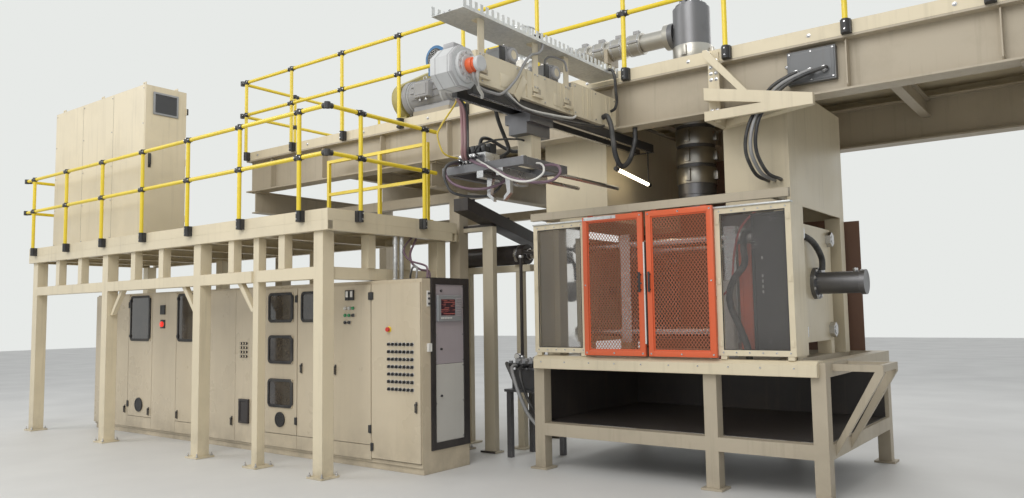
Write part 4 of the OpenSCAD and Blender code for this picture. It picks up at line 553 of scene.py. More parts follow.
serviceRoute = metres((2688, 1300, 3620), (2704, 1300, 3620), (2740, 1300, 3620), (2790, 1290, 3500),
                      (2810, 1310, 3250), (2830, 1400, 3120), (2850, 1540, 3200), (2860, 1640, 3400),
                      (2860, 1650, 3480), (2860, 1650, 3549))
toolRoute = metres((2200, -60, 3071), (2200, -60, 3086), (2200, -60, 3150), (2185, -10, 3250), (2180, 110, 3270),
                   (2230, 220, 3215), (2330, 255, 3160), (2400, 255, 3150), (2447, 255, 3150))
layHose("serviceHose", serviceRoute, 0.026, "blackHose", "frame", stands=["service_hose"])
layHose("toolHose", toolRoute, 0.017, "blackHose", "arm", stands=["tool_hose"])
glandAt = [4.53, 4.65, 4.77]
for i, x in enumerate(glandAt):
    drop = metres((x * 1000, 1612.7, 3770), (x * 1000, 1552.7, 3770), (4330 + i * 70, 1520, 3680),
                  (4160 + i * 40, 1520, 3480), (4080 + i * 45, 1500, 3280), (4060 + i * 50, 1530, 3090),
                  (4080 + i * 55, 1700, 2930), (4120 + i * 60, 1830, 2892), (4120 + i * 60, 1923, 2890))
    layHose("junctionHose" + str(i + 1), drop, 0.017, ("blackHose", "greyHose", "blackHose")[i], "frame",
            stands=["junction_hoses"])
print("declared hoses laid")

# the floor, the room's light

floorSet = {"size": 90, "colour": (0.66, 0.66, 0.645), "gloss": 0.5}


def addFloor(s):
    bpy.ops.object.select_all(action="DESELECT")
    bpy.ops.mesh.primitive_plane_add(size=s["size"], location=(0, 0, -0.001))
    floor = bpy.context.object
    floor.name = "roomFloor"
    material, tree, shader = newMaterial("roomFloor")
    spot = objectPoint(tree)
    film = ramp(tree, noise(tree, spot, 0.8, 5), 0.35, 0.7)
    dull = tuple(c * 0.93 for c in s["colour"])
    tone = mixColour(tree, film, s["colour"], dull)
    surface(tree, shader, tone, ramp(tree, film, 0, 1, s["gloss"], s["gloss"] + 0.15))
    floor.data.materials.append(material)


lightSet = {"room": 0.62, "backdrop": (0.80, 0.82, 0.80),
            "lamps": [("overFront", (3.5, -7.5, 9.0), (0.0, 1.0, 2.2), 7.0, 620),
                      ("overLeft", (-9.0, -6.0, 8.0), (-3.0, 1.0, 2.5), 6.0, 330),
                      ("overBack", (2.0, 10.0, 9.0), (1.0, 3.0, 3.5), 7.0, 300)]}


def addLight(s):
    world = bpy.data.worlds.new("room")
    world.use_nodes = True
    bpy.context.scene.world = world
    tree = world.node_tree
    tree.nodes.clear()
    path = tree.nodes.new("ShaderNodeLightPath")
    seen = calc(tree, "MAXIMUM", path.outputs["Is Camera Ray"], path.outputs["Is Glossy Ray"])
    seen = calc(tree, "MAXIMUM", seen, path.outputs["Is Transmission Ray"])
    lit = tree.nodes.new("ShaderNodeBackground")
    plain = tree.nodes.new("ShaderNodeBackground")
    lit.inputs["Color"].default_value = (0.97, 0.98, 1.0, 1)
    lit.inputs["Strength"].default_value = s["room"]
    plain.inputs["Color"].default_value = (*s["backdrop"], 1)
    plain.inputs["Strength"].default_value = 1.0
    mixed = tree.nodes.new("ShaderNodeMixShader")
    tree.links.new(seen, mixed.inputs[0])
    tree.links.new(lit.outputs[0], mixed.inputs[1])
    tree.links.new(plain.outputs[0], mixed.inputs[2])
    tree.links.new(mixed.outputs[0], tree.nodes.new("ShaderNodeOutputWorld").inputs[0])
    for name, place, target, size, power in s["lamps"]:
        data = bpy.data.lights.new(name, "AREA")
        data.size = size
        data.energy = power
        data.color = (1.0, 0.985, 0.96)
        lamp = bpy.data.objects.new(name, data)
        bpy.context.scene.collection.objects.link(lamp)
        lamp.location = place
        lamp.rotation_euler = (Vector(target) - Vector(place)).to_track_quat("-Z", "Y").to_euler()


addFloor(floorSet)
addLight(lightSet)
print("floor and light ready")

# modelling helpers, worked as by hand in edit mode

toLeft, toRight, toFront, toBack = (-1, 0, 0), (1, 0, 0), (0, -1, 0), (0, 1, 0)
toTop, toFloor = (0, 0, 1), (0, 0, -1)


def pick(piece):
    if bpy.context.object is not None and bpy.context.object.mode != "OBJECT":
        bpy.ops.object.mode_set(mode="OBJECT")
    bpy.ops.object.select_all(action="DESELECT")
    piece.select_set(True)
    bpy.context.view_layer.objects.active = piece
    return piece


def roundEdges(piece, width, segments=2, angle=30):
    mod = pick(piece).modifiers.new("edges", "BEVEL")
    mod.width = width
    mod.segments = segments
    mod.limit_method = "ANGLE"
    mod.angle_limit = math.radians(angle)
    mod.harden_normals = False
    bpy.ops.object.modifier_apply(modifier=mod.name)
    return piece


def addBox(low, high, edge=0.002, segments=2):
    bpy.ops.object.select_all(action="DESELECT")
    middle = [(a + b) / 2 for a, b in zip(low, high)]
    bpy.ops.mesh.primitive_cube_add(size=1, location=middle)
    piece = bpy.context.object
    piece.scale = [b - a for a, b in zip(low, high)]
    bpy.ops.object.transform_apply(location=True, rotation=True, scale=True)
    return roundEdges(piece, edge, segments) if edge else piece


def addRod(start, end, radius, sides=20, edge=0.0):
    start, end = Vector(start), Vector(end)
    bpy.ops.object.select_all(action="DESELECT")
    bpy.ops.mesh.primitive_cylinder_add(vertices=sides, radius=radius, depth=(end - start).length,
                                        location=(start + end) / 2,
                                        rotation=(end - start).to_track_quat("Z", "Y").to_euler())
    piece = bpy.context.object
    bpy.ops.object.transform_apply(location=True, rotation=True, scale=True)
    return roundEdges(piece, edge) if edge else piece


def chooseFaces(piece, normal):        # the outermost faces on that side
    pick(piece)
    normal = Vector(normal)
    bpy.ops.object.mode_set(mode="EDIT")
    bpy.ops.mesh.select_mode(type="FACE")
    bpy.ops.mesh.select_all(action="DESELECT")
    bpy.ops.object.mode_set(mode="OBJECT")
    far = max(f.center.dot(normal) for f in piece.data.polygons if f.normal.dot(normal) > 0.97)
    for f in piece.data.polygons:
        f.select = f.normal.dot(normal) > 0.97 and f.center.dot(normal) > far - 0.0005
    bpy.ops.object.mode_set(mode="EDIT")


def insetFaces(piece, normal, *steps):        # each step is a width and a depth
    chooseFaces(piece, normal)
    for width, depth in steps:
        bpy.ops.mesh.inset(thickness=width, depth=depth)
    bpy.ops.object.mode_set(mode="OBJECT")
    return piece


def pressIn(piece, normal, inset, depth):        # a sunk field on one side, raised where depth is below 0
    return insetFaces(piece, normal, (inset, 0), (abs(depth) * 0.4, -depth))


def joinAll(pieces, name):
    bpy.ops.object.select_all(action="DESELECT")
    for p in pieces:
        p.select_set(True)
    bpy.context.view_layer.objects.active = pieces[0]
    if len(pieces) > 1:
        bpy.ops.object.join()
    joined = bpy.context.object
    joined.name = name
    return joined


def finishPiece(piece, name, look, body="frame", smooth=35):        # a list of pieces is joined first
    if isinstance(piece, list):
        piece = joinAll(piece, name)
    pick(piece)
    piece.name = name
    piece.data.materials.clear()
    piece.data.materials.append(finish[look])
    if smooth:
        bpy.ops.object.shade_smooth_by_angle(angle=math.radians(smooth))
    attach(piece, body)
    return piece


def copiesOf(model, places, name, look, body="frame", smooth=35):
    made = []
    for place in places:
        copy = model.copy()
        copy.data = model.data.copy()
        copy.data.transform(place if isinstance(place, Matrix) else Matrix.Translation(place))
        bpy.context.scene.collection.objects.link(copy)
        made.append(copy)
    return finishPiece(made, name, look, body, smooth)


def turned(place, axis, twist=0.0):        # model's Z goes to the given axis
    quat = Vector(axis).to_track_quat("Z", "Y")
    return Matrix.Translation(place) @ quat.to_matrix().to_4x4() @ Matrix.Rotation(math.radians(twist), 4, "Z")


def dropModel(*models):
    for m in models:
        bpy.data.objects.remove(m)


def useUp(model, places, name, look, body="frame"):        # copies, after which the model goes
    copiesOf(model, places, name, look, body)
    dropModel(model)


def circle(count, first=0.0):        # sides of each place round a circle of radius 1
    angles = [math.radians(first + 360 / count * k) for k in range(count)]
    return [(math.cos(a), math.sin(a)) for a in angles]


quarterTurn = math.radians(90)


def addHoop(centre, turn, radius, wire, sides=(32, 6)):
    bpy.ops.object.select_all(action="DESELECT")
    bpy.ops.mesh.primitive_torus_add(major_radius=radius, minor_radius=wire, major_segments=sides[0],
                                     minor_segments=sides[1], location=centre, rotation=turn)
    bpy.ops.object.transform_apply(location=True, rotation=True, scale=True)
    return bpy.context.object


def hexBolt(radius, height, washer=True):        # head up along Z, foot at the origin
    head = addRod((0, 0, 0), (0, 0, height), radius, 6)
    insetFaces(head, toTop, (radius * 0.14, height * 0.12))
    if not washer:
        return head
    ring = addRod((0, 0, 0), (0, 0, height * 0.22), radius * 1.45, 16, radius * 0.06)
    return joinAll([head, ring], "boltModel")


def socketScrew(radius, height):
    head = addRod((0, 0, 0), (0, 0, height), radius, 14)
    insetFaces(head, toTop, (radius * 0.2, 0), (radius * 0.22, 0), (0.0001, -height * 0.6))
    return head


def roundedPlate(width, height, thick, corner, sides=6):        # flat in XY, face up
    plate = addBox((-width / 2, -height / 2, 0), (width / 2, height / 2, thick), 0)
    mod = pick(plate).modifiers.new("corners", "BEVEL")
    mod.limit_method = "WEIGHT"
    mod.width = corner
    mod.segments = sides
    weights = plate.data.attributes.new("bevel_weight_edge", "FLOAT", "EDGE")
    for i, e in enumerate(plate.data.edges):
        a, b = (plate.data.vertices[v].co for v in e.vertices)
        weights.data[i].value = 1.0 if abs(a.z - b.z) > thick * 0.5 else 0.0
    bpy.ops.object.modifier_apply(modifier=mod.name)
    return plate

# feet and railings

boltSet = {"radius": 0.014, "height": 0.02, "footTop": 0.02, "pitch": 0.195}


def addAnchors(s):
    model = hexBolt(s["radius"], s["height"])
    stud = addRod((0, 0, 0), (0, 0, s["height"] * 2.1), s["radius"] * 0.5, 10, 0.001)
    model = joinAll([model, stud], "anchorModel")
    feet = [(x, 0.0) for x in (0, -1.115, -2.27, -4.55, -6.75)] + [(x, 1.775) for x in (0, -2.27, -4.55, -6.75)]
    feet += [(x, y) for x in (-3.5, 0.06, 6.3) for y in (2.125, 4.3)]
    places = [(x + dx * s["pitch"] / 2, y + dy * s["pitch"] / 2, s["footTop"]) for x, y in feet
              for dx in (-1, 1) for dy in (-1, 1)]
    useUp(model, places, "anchorBolts", "steel")


addAnchors(boltSet)

fittingSet = {"radius": 0.008, "height": 0.005}
frontPosts = [-0.215 - i * 1.075 for i in range(7)]
upperPosts = [-3.625 + i * 1.075 for i in range(10)]
postPlaces = [(x, -0.163, 2.8, toFront) for x in frontPosts] + [(0.243, y, 2.8, toRight) for y in (0.3, 1.3)]
postPlaces += [(-6.948, y, 2.8, toLeft) for y in (0.68, 1.69)]
postPlaces += [(x, 1.527, 4.15, toFront) for x in upperPosts]
postPlaces += [(-3.723, y, 4.15, toLeft) for y in (2.5, 3.5, 4.35)]
postPlaces += [(6.648, y, 4.15, toRight) for y in (2.5, 3.5, 4.35)]


def addFittingScrews(s):
    model = socketScrew(s["radius"], s["height"])
    places = []
    for x, y, deck, out in postPlaces:
        away = Vector(out)
        side = Vector((-away.y, away.x, 0))
        for z in (deck + 0.57, deck + 1.07):
            places.append(turned(Vector((x, y, z + 0.021)) + away * 0.0305, out))
            for k in (-1, 1):
                places.append(turned(Vector((x, y, z)) + away * 0.0295 + side * k * 0.047, out))
        for k in (-1, 1):
            places.append(turned(Vector((x, y, deck - 0.06 + k * 0.032)) + away * 0.0325, out))
    useUp(model, places, "fittingScrews", "steel")


addFittingScrews(fittingSet)
print("anchors and fitting screws set")

# drive cabinet

louvreSet = {"left": 0.255, "right": 0.585, "low": 4.565, "high": 4.84, "face": -3.94, "slats": 22}


def addLouvre(s):
    x, rim = s["face"], 0.022
    ring = addBox((x + 0.0003, s["left"] - rim, s["low"] - rim),
                  (x + 0.018, s["right"] + rim, s["high"] + rim), 0.004)
    pressIn(ring, toRight, rim, 0.012)
    finishPiece(ring, "louvreFrame", "greyPlastic", "drive_door")
    model = addBox((x + 0.006, -0.0018, s["low"] + 0.002), (x + 0.016, 0.0018, s["high"] - 0.002), 0.0008, 1)
    step = (s["right"] - s["left"]) / s["slats"]
    places = [(0, s["left"] + (i + 0.5) * step, 0) for i in range(s["slats"])]
    useUp(model, places, "louvreSlats", "blackPlastic", "drive_door")


addLouvre(louvreSet)

driveSet = {"hingeZ": (3.105, 3.92, 4.665), "screwRows": (2.86, 3.4, 3.9, 4.4, 4.9)}


def addDriveDetails(s):
    parts = []
    for z in s["hingeZ"]:        # hinge leaves over the barrels
        leaf = addBox((-3.946, 0.7375, z - 0.045), (-3.918, 0.7605, z + 0.045), 0.003)
        parts.append(pressIn(leaf, toBack, 0.006, 0.002))
    finishPiece(parts, "driveHinges", "blackPlastic", "drive_door")
    base = addBox((-3.9397, 0.175, 3.78), (-3.93, 0.215, 3.98), 0.003)
    lever = addBox((-3.93, 0.182, 3.82), (-3.908, 0.208, 3.97), 0.006, 3)
    finishPiece([base, lever], "driveHandle", "blackPlastic", "drive_door")
    model = socketScrew(0.009, 0.006)
    places = [turned((x, 0.1249, z), toFront) for x in (-6.62, -5.72, -4.86, -3.99) for z in s["screwRows"]]
    useUp(model, places, "driveScrews", "steel")
    strips = [addBox((x - 0.0015, 0.1235, 2.83), (x + 0.0015, 0.1249, 4.93), 0.0006, 1) for x in (-5.75, -4.83)]
    finishPiece(strips, "driveSeams", "blackPlastic")


addDriveDetails(driveSet)
print("drive cabinet dressed")

# cabinet row

windowSet = [("supply_left", -4.855, 1.69, 0.52, 0.62), ("supply_right", -3.565, 1.69, 0.52, 0.62),
             ("heater_left", -1.535, 1.79, 0.44, 0.32), ("heater_left", -1.535, 1.277, 0.44, 0.3),
             ("heater_left", -1.535, 0.748, 0.44, 0.3), ("heater_right", -0.9, 1.79, 0.44, 0.32)]
rowFace = 0.615


def standUp(piece, x, z, y):        # a flat XY plate stood against the door faces
    place = Matrix.Translation((x, y, z)) @ Matrix.Rotation(math.radians(90), 4, "X")
    piece.data.transform(place)
    return piece


def addDoorWindows():
    for i, (body, x, z, w, h) in enumerate(windowSet):
        pane = roundedPlate(w - 0.012, h - 0.012, 0.004, 0.042)
        pressIn(pane, toTop, 0.02, 0.0006)
        finishPiece(standUp(pane, x, z, rowFace - 0.0055), "doorPane" + str(i + 1), "smoked", body)
        frameRing = roundedPlate(w + 0.046, h + 0.046, 0.014, 0.06, 8)
        chooseFaces(frameRing, toTop)
        bpy.ops.mesh.inset(thickness=0.008, depth=0.004)
        bpy.ops.mesh.inset(thickness=0.026, depth=0)
        bpy.ops.mesh.delete(type="FACE")
        bpy.ops.object.mode_set(mode="OBJECT")
        chooseFaces(frameRing, toFloor)
        bpy.ops.mesh.inset(thickness=0.034, depth=0)
        bpy.ops.mesh.delete(type="FACE")
        bpy.ops.object.mode_set(mode="OBJECT")
        loops = pick(frameRing)
        bpy.ops.object.mode_set(mode="EDIT")
        bpy.ops.mesh.select_mode(type="EDGE")
        bpy.ops.mesh.select_all(action="DESELECT")
        bpy.ops.mesh.select_non_manifold()
        bpy.ops.mesh.bridge_edge_loops()
        bpy.ops.mesh.select_all(action="SELECT")
        bpy.ops.mesh.normals_make_consistent(inside=False)
        bpy.ops.object.mode_set(mode="OBJECT")
        finishPiece(standUp(loops, x, z, rowFace - 0.0003), "doorGasket" + str(i + 1), "rubber", body)


addDoorWindows()

latchSet = [("frame", -5.25, 0.35), ("frame", -2.535, 0.35), ("supply_left", -4.58, 0.35),
            ("supply_right", -3.825, 0.35), ("heater_left", -1.9, 1.06), ("heater_right", -1.13, 1.06),
            ("gauge", -0.524, 1.06), ("selector", 0.755, 0.7)]


def addLatches():
    for i, (body, x, z) in enumerate(latchSet):
        y = rowFace
        plate = addBox((x - 0.0135, y - 0.0085, z - 0.0605), (x + 0.0135, y - 0.0003, z + 0.0605), 0.003)
        boss = addRod((x, y - 0.0005, z + 0.03), (x, y - 0.0265, z + 0.03), 0.0145, 20, 0.002)
        lever = addBox((x - 0.0095, y - 0.0275, z - 0.0505), (x + 0.0095, y - 0.0155, z + 0.0305), 0.004, 3)
        finishPiece([plate, boss, lever], "latch" + str(i + 1), "blackPlastic", body)


addLatches()

ventSet = [("supply_left", -4.855, 0.43, 0.095), ("heater_left", -1.535, 0.43, 0.085)]


def addRoundVents():
    for i, (body, x, z, r) in enumerate(ventSet):
        y = rowFace - 0.012
        rim = addRod((x, y + 0.0117, z), (x, y - 0.006, z), r + 0.006, 40, 0.003)
        insetFaces(rim, toFront, (0.014, 0), (0.001, -0.005))
        slats = []
        for k in range(-4, 5):
            rise = k * 0.0175
            half = math.sqrt(max((r - 0.012) ** 2 - rise ** 2, 0.0004))
            slats.append(addBox((x - half, y - 0.005, z + rise - 0.003), (x + half, y - 0.0005, z + rise + 0.003),
                                0.001, 1))
        finishPiece([rim] + slats, "roundVent" + str(i + 1), "blackPlastic", body)


addRoundVents()


def addSupplyDetails():
    y = rowFace
    meter = addBox((-4.302, y - 0.016, 1.738), (-4.178, y - 0.0003, 1.872), 0.004)
    pressIn(meter, toFront, 0.014, 0.004)
    finishPiece(meter, "supplyMeter", "blackPlastic")
    plate = addBox((-4.302, y - 0.006, 1.54), (-4.178, y - 0.0003, 1.662), 0.002)
    finishPiece(plate, "lampPlate", "blackPlastic")
    finishPiece(addRod((-4.24, y - 0.006, 1.6), (-4.24, y - 0.034, 1.6), 0.039, 28, 0.008), "lampLens", "redGlow")
    hood = addBox((-2.362, y - 0.03, 0.338), (-2.158, y - 0.0003, 0.642), 0.006, 3)
    pressIn(hood, toFront, 0.022, 0.01)
    finishPiece(hood, "ventHood", "black")
    model = addRod((0, 0, 0), (0, 0, 0.022), 0.0165, 18, 0.0025)
    insetFaces(model, toTop, (0.004, -0.003))
    pitch = 0.055
    places = [turned((-2.34 + i * pitch, y - 0.0005, 1.18 + j * pitch), toFront) for i in range(3) for j in range(4)]
    useUp(model, places, "supplyButtons", "blackPlastic")
    clip = addBox((-0.02, -0.012, -0.02), (0.02, -0.0003, 0.02), 0.003)
    for body, x, z, w, h in windowSet[:2]:
        places = [(x + dx * (w / 2 + 0.005), y - 0.013, z + dz * h * 0.42) for dx in (-1, 1) for dz in (-1, 1)]
        copiesOf(clip, places, "windowClips_" + body, "blackPlastic", body)
    dropModel(clip)


addSupplyDetails()

gaugeSet = {"meters": (-0.315, -0.24), "z": (1.85, 1.965),
            "buttonX": (-0.35, -0.285, -0.22), "buttonZ": (1.6, 1.68, 1.76)}


def addGaugeDetails(s):
    y = rowFace
    low, high = s["z"]
    for i, x in enumerate(s["meters"]):
        case = addBox((x - 0.031, y - 0.022, low - 0.001), (x + 0.031, y - 0.0003, high + 0.001), 0.003)
        pressIn(case, toFront, 0.007, 0.003)
        finishPiece(case, "gauge" + str(i + 1), "blackPlastic", "gauge")
        dial = addBox((x - 0.022, y - 0.0205, low + 0.035), (x + 0.022, y - 0.0185, high - 0.012), 0.0008)
        needle = addBox((x - 0.002, y - 0.0215, low + 0.04), (x + 0.001, y - 0.0203, high - 0.02), 0.0003, 1)
        finishPiece([dial, needle], "gaugeDial" + str(i + 1), "whitePlastic", "gauge")
    ring = addRod((0, 0, 0), (0, 0, 0.01), 0.0215, 22, 0.002)
    insetFaces(ring, toTop, (0.004, -0.004))
    spots = [(x, y, z) for x in s["buttonX"] for z in s["buttonZ"] if not (x == -0.22 and z == 1.6)]
    rings = [turned((x, y - 0.0003, z), toFront) for x, y, z in spots]
    copiesOf(ring, rings, "gaugeButtonRings", "steel", "gauge")
    cap = addRod((0, 0, 0.004), (0, 0, 0.027), 0.0178, 20, 0.0035)
    looks = {"blackPlastic": spots[0::3], "greenPlastic": spots[1::3], "whitePlastic": spots[2::3]}
    for look, places in looks.items():
        copiesOf(cap, [turned((x, y, z), toFront) for x, y, z in places], "gaugeButtons_" + look, look, "gauge")
    dropModel(ring, cap)


addGaugeDetails(gaugeSet)

knobSet = {"x": 0.35, "z": 0.88, "stepX": 0.058, "stepZ": 0.08, "count": 7}


def addKnobDetails(s):
    y = rowFace
    count = range(s["count"])
    places = [(s["x"] + i * s["stepX"], y, s["z"] + j * s["stepZ"]) for i in count for j in count]
    ring = addRod((0, 0, 0.0004), (0, 0, 0.0055), 0.0225, 16, 0.0012)
    copiesOf(ring, [turned(p, toFront) for p in places], "selectorRings", "steel", "selector")
    mark = addBox((-0.0014, 0.0, 0.0345), (0.0014, 0.012, 0.0352), 0.0003, 1)
    copiesOf(mark, [turned(p, toFront, twist=random.choice((0, 45, -45))) for p in places], "selectorMarks",
             "whitePlastic", "selector")
    lever = addBox((-0.0045, -0.0145, 0.0098), (0.0045, 0.0145, 0.035), 0.0018)
    copiesOf(lever, [turned(p, toFront) for p in places], "selectorLevers", "blackPlastic", "selector")
    dropModel(ring, mark, lever)
    cap = addRod((0.35, y - 0.012, 1.52), (0.35, y - 0.029, 1.52), 0.0255, 28, 0.006)
    finishPiece(cap, "stopCap", "redPlastic", "stop")
    collar = addRod((0.35, y - 0.0003, 1.52), (0.35, y - 0.004, 1.52), 0.034, 28, 0.001)
    finishPiece(collar, "stopCollar", "yellow", "selector")


random.seed(4)
addKnobDetails(knobSet)

hingeSet = [("supply_left", -5.184, 1), ("supply_right", -3.251, -1), ("heater_left", -1.226, -1),
            ("heater_right", -0.5903, -1), ("gauge", 0.0577, -1), ("selector", 0.07, 1)]


def addHinges():        # black lift-off hinges on the pins
    for body, x, side in hingeSet:
        low = 0.24 if body == "selector" else 0.43
        parts = []
        for z in (low, 1.89):
            parts.append(addRod((x, 0.6093, z - 0.045), (x, 0.6093, z + 0.045), 0.0098, 18, 0.002))
            near, far = sorted((x, x + side * 0.032))
            leaf = addBox((near, 0.6035, z - 0.042), (far, 0.6147, z + 0.042), 0.002)
            parts.append(pressIn(leaf, toFront, 0.006, 0.001))
        finishPiece(parts, "hinges_" + body, "blackPlastic", body)


addHinges()
print("door fittings made")

# instrument rack

rackSet = {"face": 0.817, "left": 0.8413, "right": 1.3047, "screwRows": (0.34, 0.72, 1.11, 1.17, 1.45, 1.75, 1.98)}


def addRackDetails(s):
    x = s["face"]
    bezel = addBox((x + 0.0004, s["left"] + 0.018, 1.598), (x + 0.03, s["right"] - 0.058, 1.882), 0.005, 3)
    pressIn(bezel, toRight, 0.012, 0.002)
    finishPiece(bezel, "terminalBezel", "greyPlastic")
    glass = addBox((x + 0.0285, s["left"] + 0.066, 1.662), (x + 0.0305, s["right"] - 0.168, 1.838), 0.0008)
    pressIn(glass, toRight, 0.006, 0.0005)
    finishPiece(glass, "terminalScreen", "screen")
    key = addBox((0, 0, 0), (0.004, 0.0165, 0.0165), 0.0012)
    places = [(x + 0.029, s["right"] - 0.147 + i * 0.0215, 1.652 + j * 0.026) for i in range(4) for j in range(8)]
    copiesOf(key, places, "terminalKeys", "rackGrey")
    low = [(x + 0.029, s["left"] + 0.07 + i * 0.026, 1.626) for i in range(7)]
    useUp(key, low, "terminalFunctionKeys", "whitePlastic")
    screw = socketScrew(0.008, 0.005)
    edges = (s["left"] + 0.014, s["right"] - 0.014)
    places = [turned((x - 0.0005, y, z), toRight) for y in edges for z in s["screwRows"]]
    useUp(screw, places, "panelScrews", "steel")
    lockY = s["left"] + 0.09
    locks = [addRod((x, lockY, z), (x + 0.0185, lockY, z), 0.0125, 20, 0.002) for z in (1.93, 1.3, 0.8)]
    pressIn(locks[0], toRight, 0.005, 0.003)
    finishPiece(locks, "rackLocks", "blackPlastic")
    trim = [addBox((0.8293, y, 0.24), (0.8325, y + 0.0175, 2.065), 0.001) for y in (0.7725, 1.376)]
    finishPiece(trim, "rackTrim", "black")
    # switches on the strip of cabinet beside the rack
    plate = addBox((0.8153, 0.71, 1.76), (0.823, 0.762, 1.93), 0.003)
    knobs = [addRod((0.823, 0.736, z), (0.836, 0.736, z), 0.012, 18, 0.002) for z in (1.79, 1.845, 1.9)]
    finishPiece(plate, "stripSwitchPlate", "whitePlastic")
    finishPiece(knobs, "stripSwitches", "blackPlastic")
    finishPiece(pressIn(addBox((0.8153, 0.708, 1.28), (0.845, 0.766, 1.37), 0.005), toRight, 0.008, 0.003),
                "stripSocket", "whitePlastic")


addRackDetails(rackSet)
print("instrument rack dressed")

# take-out robot

servoSet = {"x0": 2.47, "y": -0.84, "z": 3.615, "length": 0.23, "across": 0.16}


def addServoDetails(s):
    x, y, z, end = s["x0"], s["y"], s["z"], s["x0"] + s["length"]
    cover = addRod((x - 0.0095, y, z), (x + 0.0115, y, z), 0.0935, 36, 0.003)
    insetFaces(cover, toLeft, (0.018, 0), (0.004, -0.008), (0.03, 0.004))
    finishPiece(cover, "servoCover", "whitePlastic")
    screw = socketScrew(0.009, 0.007)
    ring = [turned((x - 0.0003, y + 0.128 * u, z + 0.128 * v), toLeft) for u, v in circle(8, 22.5)]
    ring += [turned((end + 0.0328, y + 0.108 * u, z + 0.108 * v), toRight) for u, v in circle(12, 15)]
    useUp(screw, ring, "servoScrews", "steel")
    seams = []
    for k, width in ((0.05, 0.006), (0.178, 0.006), (0.2, 0.026)):        # split lines and rim of the housing
        band = addRod((x + k, y, z), (x + k + width, y, z), s["across"] / math.cos(math.radians(22.5)) + 0.0025, 8)
        band.data.transform(Matrix.Translation((0, y, z)) @ Matrix.Rotation(math.radians(22.5), 4, "X")
                            @ Matrix.Translation((0, -y, -z)))
        seams.append(roundEdges(band, 0.001, 1))
    finishPiece(seams, "servoBands", "grey")
    flange = addRod((end + 0.0015, y, z), (end + 0.033, y, z), 0.1275, 40, 0.004)
    insetFaces(flange, toRight, (0.034, 0), (0.003, 0.008))
    finishPiece(flange, "servoFlange", "paleGrey")
    sleeves = [addRod((end + 0.036, y, z), (end + 0.098, y, z), 0.062, 30, 0.012),
               addRod((end + 0.098, y, z), (end + 0.13, y, z), 0.053, 30, 0.006)]
    finishPiece(sleeves, "servoCoupling", "orangePlain")
    cap = addRod((end + 0.1265, y, z), (end + 0.1665, y, z), 0.0615, 34, 0.005)
    pressIn(cap, toRight, 0.012, 0.003)
    finishPiece(cap, "servoEndCap", "paleGrey")
    # connector block on the housing, with its screwed lid
    block = addBox((x + 0.05, y - 0.06, z + 0.1603), (x + 0.16, y + 0.06, z + 0.205), 0.006, 3)
    pressIn(block, toTop, 0.012, -0.004)
    finishPiece(block, "servoConnector", "grey")
    finishPiece(pressIn(addBox((2.6745, -0.66, 3.63), (2.69, -0.55, 3.7), 0.003), toRight, 0.014, 0.004),
                "beamEndPlate", "shadedCream")


addServoDetails(servoSet)


beamSet = {"side": 2.6745, "top": 3.8045, "gearboxes": (-0.26, 0.4), "rails": (2.44, 2.61),
           "posts": (-0.655, 0.105, 0.605)}


